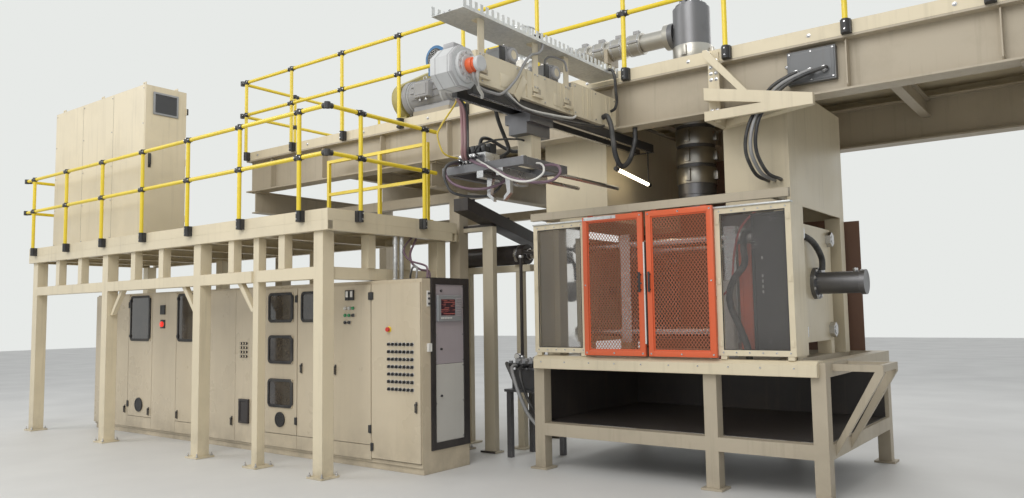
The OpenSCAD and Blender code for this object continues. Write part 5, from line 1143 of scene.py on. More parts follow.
def addBeamDetails(s):
    side, covers, lids = s["side"], [], []
    for y in s["gearboxes"]:        # covers and ribs of the two gearboxes
        box = addBox((2.4435, y - 0.0015, 3.8055), (2.6465, y + 0.1715, 3.9565), 0.008, 3)
        pressIn(box, toTop, 0.02, -0.006)
        pressIn(box, toRight, 0.02, 0.004)
        pressIn(box, toFront, 0.02, 0.004)
        hub = addRod((2.6455, y + 0.085, 3.885), (2.688, y + 0.085, 3.885), 0.0635, 30, 0.005)
        pressIn(hub, toRight, 0.018, 0.006)
        flange = addRod((2.64, y + 0.085, 3.885), (2.652, y + 0.085, 3.885), 0.078, 30, 0.003)
        covers += [box, hub, flange]
        lids.append(addBox((2.652, y - 0.085, 3.812), (2.668, y - 0.01, 3.93), 0.004))
    finishPiece(covers, "gearboxCovers", "grey")
    finishPiece(lids, "gearboxLids", "blackPlastic")
    screw = hexBolt(0.009, 0.007, False)
    places = []
    for y in s["gearboxes"]:
        places += [turned((2.652, y + 0.085 + 0.07 * u, 3.885 + 0.07 * v), toRight) for u, v in circle(4, 45)]
        places += [(x, y + d, 3.9625) for x in (2.46, 2.63) for d in (0.015, 0.155)]
    for y in (-0.6, -0.12, 0.3, 0.7):        # joint bolts on the beam's side and top
        places += [turned((side + 0.0002, y, z), toRight) for z in (3.565, 3.78)]
        places += [(x, y + 0.02, s["top"] + 0.0002) for x in (2.39, 2.66)]
    for y in (-0.655, 0.11, 0.61):        # feet of the tray posts
        places += [turned((2.6867, y + d, z), toRight) for d in (0.018, 0.057) for z in (3.67, 3.78)]
    places += [turned((2.6847, y, z), toRight) for y in (0.795, 1.17, 1.545) for z in (3.57, 3.83)]
    useUp(screw, places, "beamBolts", "steel")
    plates = [addBox((side, y - 0.006, 3.562), (side + 0.007, y + 0.006, 3.79), 0.0015) for y in (0.02, 0.56)]
    for y in (0.94, 1.02, 1.1, 1.38, 1.46):        # folded ribs of the far box
        plates.append(addBox((2.6847, y - 0.008, 3.56), (2.6905, y + 0.008, 3.845), 0.002))
    finishPiece(plates, "beamPlates", "cream")
    # flat stay welded across the beam's side
    stay = addBox((side + 0.0001, -0.042, -0.12), (side + 0.0085, 0.042, 0.12), 0.002)
    stay.data.transform(Matrix.Translation((0, -0.075, 3.615)) @ Matrix.Rotation(math.radians(-31), 4, "X"))
    finishPiece(stay, "beamStay", "cream")
    covers = [addBox((side + 0.0001, y - 0.07, 3.572), (side + 0.004, y + 0.07, 3.688), 0.002) for y in (-0.29, 0.51)]
    finishPiece(covers, "beamCovers", "beam")
    pockets, ledges = [], []
    for y in s["posts"]:        # pockets with a ledge below the tray posts
        pockets.append(addBox((side + 0.0001, y, 3.592), (side + 0.0025, y + 0.13, 3.668), 0.001, 1))
        ledges.append(addBox((side + 0.0001, y - 0.008, 3.578), (side + 0.0295, y + 0.138, 3.592), 0.003))
        ledges.append(addBox((side + 0.0215, y - 0.008, 3.591), (side + 0.0295, y + 0.138, 3.606), 0.002))
    finishPiece(pockets, "beamPockets", "shadedCream")
    finishPiece(ledges, "beamLedges", "cream")
    # ground running faces and end stops of the guide rails
    rails = [addBox((x - 0.018, -0.665, 3.447), (x + 0.018, 2.49, 3.4503), 0.001) for x in s["rails"]]
    finishPiece(rails, "railFaces", "steel")
    pads = [addBox((x - 0.03, -0.676, 3.46), (x + 0.03, -0.669, 3.53), 0.006, 3) for x in s["rails"]]
    finishPiece(pads, "railStops", "rubber")


addBeamDetails(beamSet)


traySet = {"left": 2.43, "pitch": 0.042, "near": -0.86, "step": 0.17, "floor": 4.0805, "wander": 0.01,
           "cables": ((0.013, "blackHose"), (0.01, "greyHose"), (0.012, "purpleHose"), (0.015, "blackHose"),
                      (0.008, "whiteHose"), (0.011, "blackHose"))}


def addTrayCables(s):
    for i, (r, look) in enumerate(s["cables"]):
        x = s["left"] + i * s["pitch"]
        points = [(x + s["wander"] * math.sin(i * 2.1 + k * 1.3), s["near"] + k * s["step"], s["floor"] + r)
                  for k in range(14)]
        layHose("trayCable" + str(i + 1), points, r, look)


addTrayCables(traySet)

beamRuns = [
    ("servoCable", [(2.78, -0.84, 3.555), (2.785, -0.835, 3.51), (2.765, -0.78, 3.475), (2.725, -0.71, 3.483),
                    (2.705, -0.62, 3.478), (2.7, -0.5, 3.48), (2.7, -0.39, 3.492), (2.7, -0.28, 3.563),
                    (2.7, -0.151, 3.687), (2.7, -0.077, 3.792), (2.7, -0.01, 3.875), (2.7, 0.07, 3.945),
                    (2.71, 0.15, 3.975), (2.72, 0.2, 4.02), (2.72, 0.21, 4.06), (2.72, 0.21, 4.0745)],
     0.012, "greyHose"),
    ("servoBraid", [(2.76, -0.84, 3.67), (2.8, -0.845, 3.66), (2.825, -0.84, 3.61), (2.81, -0.82, 3.55),
                    (2.78, -0.79, 3.5), (2.75, -0.74, 3.46), (2.72, -0.68, 3.45), (2.69, -0.62, 3.44),
                    (2.655, -0.58, 3.432)], 0.014, "whiteHose"),
    ("beamCableLow", [(2.6735, -0.3, 3.535), (2.69, -0.29, 3.53), (2.7, -0.25, 3.5), (2.7, -0.185, 3.47),
                      (2.7, -0.115, 3.448), (2.7, 0.0, 3.44), (2.7, 0.15, 3.443), (2.7, 0.3, 3.455),
                      (2.7, 0.466, 3.468), (2.7, 0.6, 3.482), (2.7, 0.719, 3.5), (2.695, 0.78, 3.53)],
     0.012, "whiteHose"),
    ("beamCableLow2", [(2.6735, -0.33, 3.52), (2.7, -0.33, 3.5), (2.715, -0.25, 3.46), (2.715, -0.12, 3.425),
                       (2.715, 0.05, 3.415), (2.71, 0.25, 3.42), (2.71, 0.5, 3.435), (2.71, 0.75, 3.455),
                       (2.71, 1.0, 3.48), (2.705, 1.2, 3.5), (2.7, 1.3, 3.53)], 0.013, "blackHose"),
    ("trayDropCable", [(2.74, 1.35, 4.11), (2.78, 1.36, 4.09), (2.8, 1.37, 4.0), (2.79, 1.4, 3.88),
                       (2.775, 1.44, 3.8), (2.74, 1.46, 3.73), (2.6905, 1.46, 3.71)], 0.015, "blackHose"),
    ("gearboxCable", [(2.59, 0.43, 3.97), (2.6, 0.43, 4.01), (2.63, 0.46, 4.04), (2.66, 0.52, 4.04),
                      (2.69, 0.6, 4.02), (2.695, 0.63, 3.98), (2.699, 0.64, 3.93)], 0.01, "greyHose"),
]
layAll(beamRuns)
print("robot beam dressed")


toolSet = {"top": 2.9597, "valves": 5, "valvePitch": 0.06, "fingers": ((2.08, 0.4), (2.4, 0.94), (2.7, 1.215)),
           "fingerZ": 2.925}


def addToolingDetails(s):
    top, level = s["top"], s["fingerZ"]
    blocks = []
    for i in range(s["valves"]):        # pilot valves on the block, each with its coil and plug
        x = 2.14 + i * s["valvePitch"]
        blocks.append(addBox((x - 0.024, -0.165, top + 0.1103), (x + 0.024, -0.075, top + 0.2), 0.004))
        blocks.append(addBox((x - 0.02, -0.235, top + 0.12), (x + 0.02, -0.168, top + 0.165), 0.005, 3))
    finishPiece(blocks, "pilotValves", "blackPlastic", "arm")
    body = addBox((2.108, -0.242, top + 0.0008), (2.412, -0.038, top + 0.1112), 0.004)
    pressIn(body, toFront, 0.014, 0.004)
    finishPiece(body, "valveBlockBody", "steel", "arm")
    rail = addBox((2.048, -0.002, top + 0.0008), (2.322, 0.172, top + 0.0612), 0.004)
    pressIn(rail, toTop, 0.015, 0.006)
    finishPiece(rail, "sensorBox", "greyPlastic", "arm")
    elbow = addRod((0, 0, 0), (0, 0, 0.03), 0.011, 12, 0.002)
    ring = addRod((0, 0, 0.022), (0, 0, 0.034), 0.0135, 12, 0.002)
    model = joinAll([elbow, ring], "elbow")
    places = [turned((2.13 + i * 0.045, -0.2421, top + z), toFront) for i in range(6) for z in (0.035, 0.08)]
    places += [(2.08 + i * 0.05, 0.05 + j * 0.07, top + 0.0612) for i in range(5) for j in range(2)]
    useUp(model, places, "airFittings", "steel", "arm")
    bolts = hexBolt(0.011, 0.009)
    places = [(x, y, top) for x in (2.02, 2.85) for y in (-0.3, 0.29)] + [(2.5, y, top) for y in (-0.3, 0.08)]
    places += [(2.02, y, top) for y in (-0.15, 0.14)] + [(2.85, y, top) for y in (-0.1, 0.14)]
    useUp(bolts, places, "toolingBolts", "steel", "arm")
    sleeves = []
    for x, reach in s["fingers"]:        # finger tips and collars
        sleeves.append(addRod((x, 0.39, level), (x, 0.402, level), 0.0285, 24, 0.003))
        sleeves.append(addRod((x, 0.405, level), (x, 0.329 + reach + 0.003, level), 0.0188, 22, 0.004))
    finishPiece(sleeves, "fingerCollars", "steel", "arm")
    finishPiece(pressIn(addBox((2.425, 0.196, 3.25), (2.4497, 0.31, 3.425), 0.003), toFront, 0.004, 0.002),
                "armPlate", "whitePlastic", "arm")
    hole = addRod((2.525, 0.1785, 3.05), (2.525, 0.1775, 3.05), 0.035, 26, 0.0003)
    finishPiece(hole, "armHole", "blackPlastic", "arm")


addToolingDetails(toolSet)

toolTubes = [
    ("airTube1", [(2.13, -0.262, 2.995), (2.12, -0.33, 2.99), (2.1, -0.4, 2.95), (2.11, -0.42, 2.88),
                  (2.17, -0.4, 2.8), (2.29, -0.34, 2.748), (2.42, -0.25, 2.745), (2.5, -0.15, 2.79),
                  (2.53, -0.1, 2.84), (2.535, -0.09, 2.885)], 0.012, "purpleHose"),
    ("airTube2", [(2.175, -0.262, 2.995), (2.16, -0.35, 2.995), (2.12, -0.42, 2.955), (2.11, -0.44, 2.87),
                  (2.13, -0.43, 2.79), (2.17, -0.4, 2.72), (2.25, -0.3, 2.69), (2.34, -0.15, 2.7),
                  (2.39, -0.05, 2.76), (2.4, 0.0, 2.825)], 0.012, "blackHose"),
    ("airTube3", [(2.31, -0.262, 2.995), (2.33, -0.35, 2.99), (2.45, -0.38, 2.935), (2.6, -0.37, 2.875),
                  (2.74, -0.36, 2.8), (2.87, -0.33, 2.752), (2.99, -0.28, 2.73), (3.08, -0.2, 2.75),
                  (3.1, -0.12, 2.82), (3.04, -0.06, 2.89), (2.95, -0.03, 2.915), (2.884, -0.02, 2.92)],
     0.012, "purpleHose"),
    ("airTube4", [(2.355, -0.262, 2.995), (2.39, -0.33, 2.985), (2.5, -0.37, 2.93), (2.64, -0.39, 2.85),
                  (2.77, -0.4, 2.775), (2.9, -0.38, 2.735), (2.99, -0.34, 2.745), (3.03, -0.27, 2.8),
                  (2.99, -0.2, 2.87), (2.93, -0.16, 2.91), (2.884, -0.15, 2.92)], 0.009, "whiteHose"),
    ("airTube5", [(2.355, -0.262, 3.04), (2.37, -0.33, 3.05), (2.44, -0.36, 3.1), (2.5, -0.22, 3.16),
                  (2.52, -0.02, 3.2), (2.52, 0.12, 3.22), (2.52, 0.165, 3.22), (2.52, 0.1785, 3.22)],
     0.009, "blackHose"),
    ("airTube6", [(2.135, -0.262, 3.04), (2.115, -0.36, 3.045), (2.1, -0.45, 3.08), (2.09, -0.5, 3.211),
                  (2.125, -0.5, 3.28), (2.175, -0.5, 3.337), (2.285, -0.52, 3.42), (2.36, -0.56, 3.455),
                  (2.409, -0.6, 3.48)], 0.008, "yellowHose"),
    ("airTube7", [(2.31, 0.03, 3.034), (2.325, 0.035, 3.06), (2.33, 0.12, 3.1), (2.33, 0.19, 3.14),
                  (2.325, 0.2, 3.2), (2.32, 0.14, 3.3), (2.325, 0.06, 3.41), (2.35, -0.01, 3.5),
                  (2.38, -0.035, 3.532)], 0.018, "blackHose"),
    ("airTube8", [(2.18, 0.12, 3.025), (2.2, 0.13, 3.08), (2.26, 0.16, 3.1), (2.34, 0.2, 3.08),
                  (2.42, 0.24, 3.05), (2.4495, 0.25, 3.045)], 0.01, "blackHose"),
]
for i, (dx, r, look) in enumerate(((-0.03, 0.014, "pinkHose"), (0.0, 0.014, "pinkHose"), (0.03, 0.01, "blackHose"))):
    # bundle that hangs from the rail's near end down to the valve block
    toolTubes.append(("bundleTube" + str(i + 1),
                      [(2.25 + dx, -0.262, 3.03), (2.28 + dx, -0.34, 3.01), (2.34 + dx, -0.43, 3.03),
                       (2.395 + dx, -0.49, 3.1), (2.402 + dx, -0.5, 3.232), (2.413 + dx, -0.52, 3.356),
                       (2.43 + dx / 2, -0.57, 3.42), (2.44 + dx / 2, -0.62, 3.443)], r, look))
layAll(toolTubes, "arm")
print("tooling dressed")

# clamp guards

windowSpans = ((1.615, 2.275), (3.705, 4.425))        # left and right edges of the two window frames
guardSet = {"face": 1.575, "sillFace": 1.5535, "paneLow": 1.302, "paneHigh": 2.573, "sealWidth": 0.009}


def addGuardDetails(s):
    face = s["face"]
    clip = addBox((-0.016, -0.006, -0.03), (0.016, -0.0003, 0.03), 0.003)
    places = []
    for x0, x1 in windowSpans:
        places += [(x, face, z) for x in (x0 + 0.03, x1 - 0.03) for z in (1.36, 1.94, 2.5)]
    useUp(clip, places, "paneClips", "cream")
    screw = socketScrew(0.008, 0.005)
    places = []
    for x0, x1 in windowSpans:
        across = [x0 + 0.05 + i * (x1 - x0 - 0.1) / 5 for i in range(6)]
        places += [turned((x, face - 0.0001, z), toFront) for x in across for z in (1.28, 2.595)]
    copiesOf(screw, places, "frameScrews", "steel")
    places = [turned((1.7 + i * 0.3, s["sillFace"], 1.15), toFront) for i in range(10)]
    useUp(screw, places, "sillScrews", "steel")
    seals = []
    for x0, x1 in windowSpans:        # rubber strips that hold the panes
        a, b, low, high, wide = x0 + 0.052, x1 - 0.052, s["paneLow"], s["paneHigh"], s["sealWidth"]
        for xa, xb, za, zb in ((a, a + wide, low, high), (b - wide, b, low, high),
                               (a, b, low, low + wide), (a, b, high - wide, high)):
            seals.append(addBox((xa, face - 0.0005, za), (xb, face + 0.008, zb), 0.002))
    finishPiece(seals, "paneSeals", "rubber")
    # what shows dimly behind the right window: dark cover, red guard leaf, grey block
    finishPiece(pressIn(addBox((3.97, 1.81, 1.25), (4.37, 1.84, 2.58), 0.006, 3), toFront, 0.02, 0.006),
                "innerCover", "blackPlastic")
    slots = [addBox((4.06, 1.8065, z), (4.075, 1.812, z + 0.03), 0.001, 1) for z in (1.82, 1.87, 1.92, 1.97, 2.14)]
    finishPiece(slots, "innerSlots", "steel")
    finishPiece(pressIn(addBox((3.82, 1.86, 1.25), (3.945, 1.88, 2.3), 0.004), toFront, 0.03, 0.004),
                "innerLeaf", "orangePlain")
    finishPiece(pressIn(addBox((3.56, 1.86, 1.21), (3.75, 1.96, 1.96), 0.01, 3), toFront, 0.03, 0.006),
                "innerBlock", "whitePlastic")
    # dark brown sheet across the back, set there as painted shade behind the clamp
    finishPiece(pressIn(addBox((1.64, 3.95, 2.6), (4.1, 3.956, 3.54), 0.002, 1), toFront, 0.05, 0.002),
                "rearShadeSheet", "paintedShadeBrown")
    caps = [addBox((a, 1.5585, 2.6253), (b, 1.628, 2.642), 0.002) for a, b in ((1.612, 2.2685), (3.702, 4.43))]
    finishPiece(caps, "frameCaps", "zinc")


addGuardDetails(guardSet)

gateSet = {"width": 0.7, "low": 1.23, "high": 2.66, "front": 1.533, "back": 1.573, "bar": 0.055,
           "pitchX": 0.034, "pitchZ": 0.046, "wire": 0.0062, "thick": 0.0026, "meshY": 1.552}


def addGate(s, body, x0, hand):        # hand is where its grip stands
    y0, y1, z0, z1, x1 = s["front"], s["back"], s["low"], s["high"], x0 + s["width"]
    bar = s["bar"]
    bars = [addBox((x0, y0, z0), (x0 + bar, y1, z1), 0.004, 3), addBox((x1 - bar, y0, z0), (x1, y1, z1), 0.004, 3),
            addBox((x0 + bar - 0.003, y0 + 0.0006, z0), (x1 - bar + 0.003, y1 - 0.0006, z0 + bar), 0.004, 3),
            addBox((x0 + bar - 0.003, y0 + 0.0006, z1 - bar), (x1 - bar + 0.003, y1 - 0.0006, z1), 0.004, 3)]
    for dx in (0.09, 0.61):
        bars.append(addBox((x0 + dx - 0.03, 1.545, z1 - 0.001), (x0 + dx + 0.03, 1.561, 2.72), 0.002))
    for x in (x0 + bar - 0.001, x1 - bar - 0.013):        # angle strips that clamp the mesh
        bars.append(addBox((x, 1.5465, z0 + bar - 0.001), (x + 0.014, 1.5585, z1 - bar + 0.001), 0.001, 1))
    for z in (z0 + bar - 0.001, z1 - bar - 0.013):
        bars.append(addBox((x0 + bar - 0.001, 1.5467, z), (x1 - bar + 0.001, 1.5583, z + 0.014), 0.001, 1))
    strand = addBox((-s["wire"] / 2, -s["thick"] / 2, -0.5), (s["wire"] / 2, s["thick"] / 2, 0.5), 0)
    left, low = x0 + bar, z0 + bar
    width, height = s["width"] - 2 * bar, z1 - z0 - 2 * bar
    slope = s["pitchX"] / s["pitchZ"]
    places = []
    for lean in (-1, 1):        # each strand runs corner to corner, cut to the opening
        start = 0 if lean < 0 else -height * slope
        count = int((width + height * slope) / s["pitchX"])
        for k in range(1, count + 1):
            foot = start + k * s["pitchX"]
            reach = sorted(((0 - foot) / (slope * lean), (width - foot) / (slope * lean)))
            a, b = max(0.0, reach[0]), min(height, reach[1])
            y = s["meshY"] + lean * 0.0006
            if b - a > 0.02:
                p = Vector((left + foot + slope * lean * a, y, low + a))
                q = Vector((left + foot + slope * lean * b, y, low + b))
                places.append(Matrix.Translation((p + q) / 2) @ Matrix.Rotation(lean * math.atan(slope), 4, "Y")
                              @ Matrix.Diagonal((1, 1, (q - p).length, 1)))
    copiesOf(strand, places, "gateMesh_" + body, "gateWire", body, 0)
    frameBars = finishPiece(bars, "gateFrame_" + body, "orangePlain", body)
    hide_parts(body)        # node and body have the same name
    dropModel(strand)
    grip = addBox((hand - 0.012, 1.498, 1.86), (hand + 0.012, 1.512, 2.06), 0.006, 3)
    feet = [addRod((hand, 1.5335, z), (hand, 1.51, z), 0.009, 14, 0.001) for z in (1.885, 2.035)]
    finishPiece([grip] + feet, "gateGrip_" + body, "blackPlastic", body)
    rivet = socketScrew(0.009, 0.005)
    spots = [(x, z) for x in (0.028, 0.35, 0.672) for z in (1.258, 1.95, 2.632) if x != 0.35 or z != 1.95]
    useUp(rivet, [turned((x0 + x, 1.5329, z), toFront) for x, z in spots], "gateRivets_" + body, "steel", body)


def addLeftGateTrim():
    edge = addBox((2.9703, 1.537, 1.35), (2.994, 1.569, 2.36), 0.006, 3)
    finishPiece(pressIn(edge, toRight, 0.008, 0.004), "gateRubberEdge", "rubber", "gate_left")
    backing = addBox((2.9703, 1.5335, 1.352), (2.984, 1.5369, 2.358), 0.001)
    finishPiece(backing, "edgeBacking", "whitePlastic", "gate_left")
    capStrip = addBox((2.29, 1.5322, 2.622), (2.67, 1.5329, 2.656), 0.0003, 1)
    finishPiece(capStrip, "gateCapStrip", "zinc", "gate_left")


addGate(gateSet, "gate_left", 2.27, 2.935)
addGate(gateSet, "gate_right", 3.005, 3.04)
addLeftGateTrim()
print("gates made")

# extruder drive on the upper deck

motorSet = {"y": 2.12, "z": 4.57}


def addMotorDetails(s):
    y, z = s["y"], s["z"]
    box = addBox((-0.42, y - 0.31, z - 0.1), (-0.17, y - 0.2, z + 0.1), 0.01, 3)
    pressIn(box, toFront, 0.02, -0.006)
    finishPiece(box, "motorTerminalBox", "grey")
    glands = [addRod((x, y - 0.255, z - 0.1), (x, y - 0.255, z - 0.14), 0.02, 8, 0.002) for x in (-0.35, -0.25)]
    finishPiece(glands, "motorGlands", "steel")
    fan = addRod((0.0595, y, z), (0.078, y, z), 0.165, 36, 0.006)
    pressIn(fan, toRight, 0.03, 0.006)
    rings = [fan]
    for r in (0.05, 0.085, 0.12):        # fan cover with its rings
        rings.append(addHoop((0.079, y, z), (0, quarterTurn, 0), r, 0.004))
    finishPiece(rings, "motorFanCover", "grey")
    collar = addRod((-0.643, y, z), (-0.62, y, z), 0.222, 40, 0.004)
    collar2 = addRod((-0.07, y, z), (-0.04, y, z), 0.216, 40, 0.004)
    finishPiece([collar, collar2], "motorRims", "paleGrey")
    eye = []
    for x in (-0.5, -0.35):
        ring = addHoop((x, y, z + 0.252), (quarterTurn, 0, 0), 0.026, 0.007, (24, 8))
        eye += [ring, addRod((x, y, z + 0.2), (x, y, z + 0.23), 0.012, 14, 0.001)]
    finishPiece(eye, "motorEyes", "steel")
    bolt = hexBolt(0.014, 0.01)
    places = [turned((-0.7203, y + 0.2 * u, z + 0.2 * v), toLeft) for u, v in circle(6, 30)]
    useUp(bolt, places, "motorBolts", "steel")


addMotorDetails(motorSet)


blowerSet = {"x": -0.18, "y": 2.12, "z": 4.9943, "rings": (0.03, 0.055, 0.08, 0.105)}


def addBlowerDetails(s):
    x, y, z = s["x"], s["y"], s["z"]
    throat = addRod((x, y - 0.158, z), (x, y - 0.148, z), 0.128, 40)
    insetFaces(throat, toFront, (0.014, 0), (0.002, -0.006))
    finishPiece(throat, "blowerThroat", "blackPlastic")
    wires = []
    for r in s["rings"]:
        wires.append(addHoop((x, y - 0.158, z), (quarterTurn, 0, 0), r, 0.0025))
    for a in range(0, 180, 45):
        c, d = math.cos(math.radians(a)) * 0.112, math.sin(math.radians(a)) * 0.112
        wires.append(addRod((x - c, y - 0.158, z - d), (x + c, y - 0.158, z + d), 0.0022, 8, 0.0005))
    finishPiece(wires, "blowerGrille", "steel")
    rims = [addRod((x, y - 0.1515, z), (x, y - 0.144, z), 0.168, 44, 0.002),
            addRod((x, y + 0.076, z), (x, y + 0.0815, z), 0.168, 44, 0.002),
            addRod((x, y + 0.24, z), (x, y + 0.2535, z), 0.083, 30, 0.004)]
    finishPiece(rims, "blowerRims", "blue")


addBlowerDetails(blowerSet)


def addGuardCover():        # bolts and inspection covers of the belt guard
    bolt = hexBolt(0.01, 0.007)
    path = []
    for y, z, r, first in ((2.12, 4.57, 0.218, 90), (2.725, 4.79, 0.318, -90)):
        path += [(y + r * u, z + r * v) for u, v in circle(10, first)[:6]]
    copiesOf(bolt, [turned((-0.9003, y, z), toLeft) for y, z in path], "guardBolts", "steel")
    useUp(bolt, [turned((-0.7697, y, z), toRight) for y, z in path[5:]], "guardBoltsBack", "steel")
    lid = addRod((-0.9003, 2.725, 4.79), (-0.908, 2.725, 4.79), 0.13, 36, 0.003)
    pressIn(lid, toLeft, 0.02, -0.003)
    lid2 = addRod((-0.9003, 2.12, 4.57), (-0.907, 2.12, 4.57), 0.09, 36, 0.003)
    finishPiece([lid, lid2], "guardLids", "olive")


addGuardCover()


def addGearboxDetails():
    lid = addBox((-0.47, 2.585, 5.11), (0.22, 3.065, 5.122), 0.003)
    pressIn(lid, toTop, 0.03, -0.004)
    ribs = [lid]
    for x in (-0.38, -0.25, 0.0, 0.13):        # cast ribs on both sides
        for y0, y1 in ((2.5385, 2.5655), (3.0845, 3.1115)):
            ribs.append(addBox((x - 0.012, y0, 4.4), (x + 0.012, y1, 5.06), 0.004))
    finishPiece(ribs, "gearboxRibs", "shadedCream")
    glass = addRod((-0.12, 2.5485, 4.62), (-0.12, 2.537, 4.62), 0.03, 24, 0.003)
    pressIn(glass, toFront, 0.009, 0.003)
    finishPiece(glass, "oilGlass", "steel")
    cap = addRod((-0.35, 2.95, 5.1215), (-0.35, 2.95, 5.175), 0.03, 20, 0.004)
    pressIn(cap, toTop, 0.008, 0.004)
    finishPiece(cap, "breatherCap", "blackPlastic")
    bolt = hexBolt(0.016, 0.012)
    places = [(x, y, 5.122) for x in (-0.44, -0.22, 0.0, 0.19) for y in (2.605, 3.045)]
    useUp(bolt, places, "gearboxBolts", "steel")


addGearboxDetails()

barrelSet = {"y": 2.825, "z": 4.85, "first": 0.7693, "pitch": 0.24, "length": 0.18, "r": 0.127, "count": 7}


def addBandDetails(s):
    y, z, r, long = s["y"], s["z"], s["r"], s["length"]
    straps, boxes = [], []
    for i in range(s["count"]):
        x = s["first"] + i * s["pitch"]
        for dx in (0.03, long - 0.03):
            straps.append(addRod((x + dx - 0.008, y, z), (x + dx + 0.008, y, z), r + 0.0025, 40, 0.001))
        boxes.append(addBox((x + 0.05, y - 0.03, z + r - 0.004), (x + 0.13, y + 0.03, z + r + 0.04), 0.004))
        boxes.append(addBox((x + 0.02, y - r - 0.02, z - 0.014), (x + long - 0.02, y - r + 0.004, z + 0.014), 0.003))
    finishPiece(straps, "bandStraps", "steel")
    finishPiece(boxes, "bandConnectors", "grey")


addBandDetails(barrelSet)

headSet = {"x": 3.0, "y": 2.825, "r": 0.21,
           "bands": ((3.08, 3.26), (3.3, 3.48), (3.52, 3.7), (3.74, 3.92), (4.28, 4.46), (4.5, 4.66))}


def addHeadDetails(s):
    x, y, r = s["x"], s["y"], s["r"]
    bands = []
    for z0, z1 in s["bands"]:
        bands.append(addRod((x, y, z0), (x, y, z1), r + 0.012, 44, 0.003))
        bands.append(addBox((x - 0.03, y - r - 0.045, z0 + 0.02), (x + 0.03, y - r - 0.008, z1 - 0.02), 0.004))
        bands.append(addBox((x + r + 0.008, y - 0.03, z0 + 0.04), (x + r + 0.05, y + 0.03, z1 - 0.04), 0.004))
    finishPiece(bands, "headBands", "bands")
    places = [(x + 0.285 * u, y + 0.285 * v, 4.2103) for u, v in circle(12, 15)]
    places += [turned((x + 0.185 * u, y + 0.185 * v, 2.8997), toFloor) for u, v in circle(12)]
    places += [(x + 0.155 * u, y + 0.155 * v, 5.1503) for u, v in circle(8, 22.5)]
    useUp(socketScrew(0.014, 0.014), places, "headBolts", "steel")
    ports = [addRod((x, y - 0.128, z), (x, y - 0.17, z), 0.022, 6, 0.002) for z in (5.2, 5.42)]
    finishPiece(ports, "cylinderPorts", "steel")


addHeadDetails(headSet)
print("extruder and head dressed")

# clamp and hydraulics


clampSet = {"y": 2.825, "z": 1.93, "flangeR": 0.138, "boltY": 0.52, "boltZ": 0.35, "ports": (1.36, 1.68, 4.32, 4.64)}


def addClampDetails(s):
    y, z, r = s["y"], s["z"], s["flangeR"]
    bolt = hexBolt(0.02, 0.014)
    places = []
    for side, out in ((1.72, toLeft), (4.28, toRight)):        # cylinder flanges
        places += [turned((side, y + r * u, z + r * v), out) for u, v in circle(8, 22.5)]
    copiesOf(bolt, places, "cylinderBolts", "steel")
    places = []
    for x, out in ((2.46, toRight), (3.54, toLeft)):
        body = "platen_left" if x < 3 else "platen_right"
        spots = [turned((x, y + j * s["boltY"], z + k * s["boltZ"]), out) for j in (-1, 1) for k in (-1, 1)]
        copiesOf(bolt, spots, "platenScrews_" + body, "steel", body)
    dropModel(bolt)
    ports = [addRod((x, y, 2.035), (x, y, 2.07), 0.026, 6, 0.003) for x in s["ports"]]
    finishPiece(ports, "cylinderFittings", "steel")


addClampDetails(clampSet)

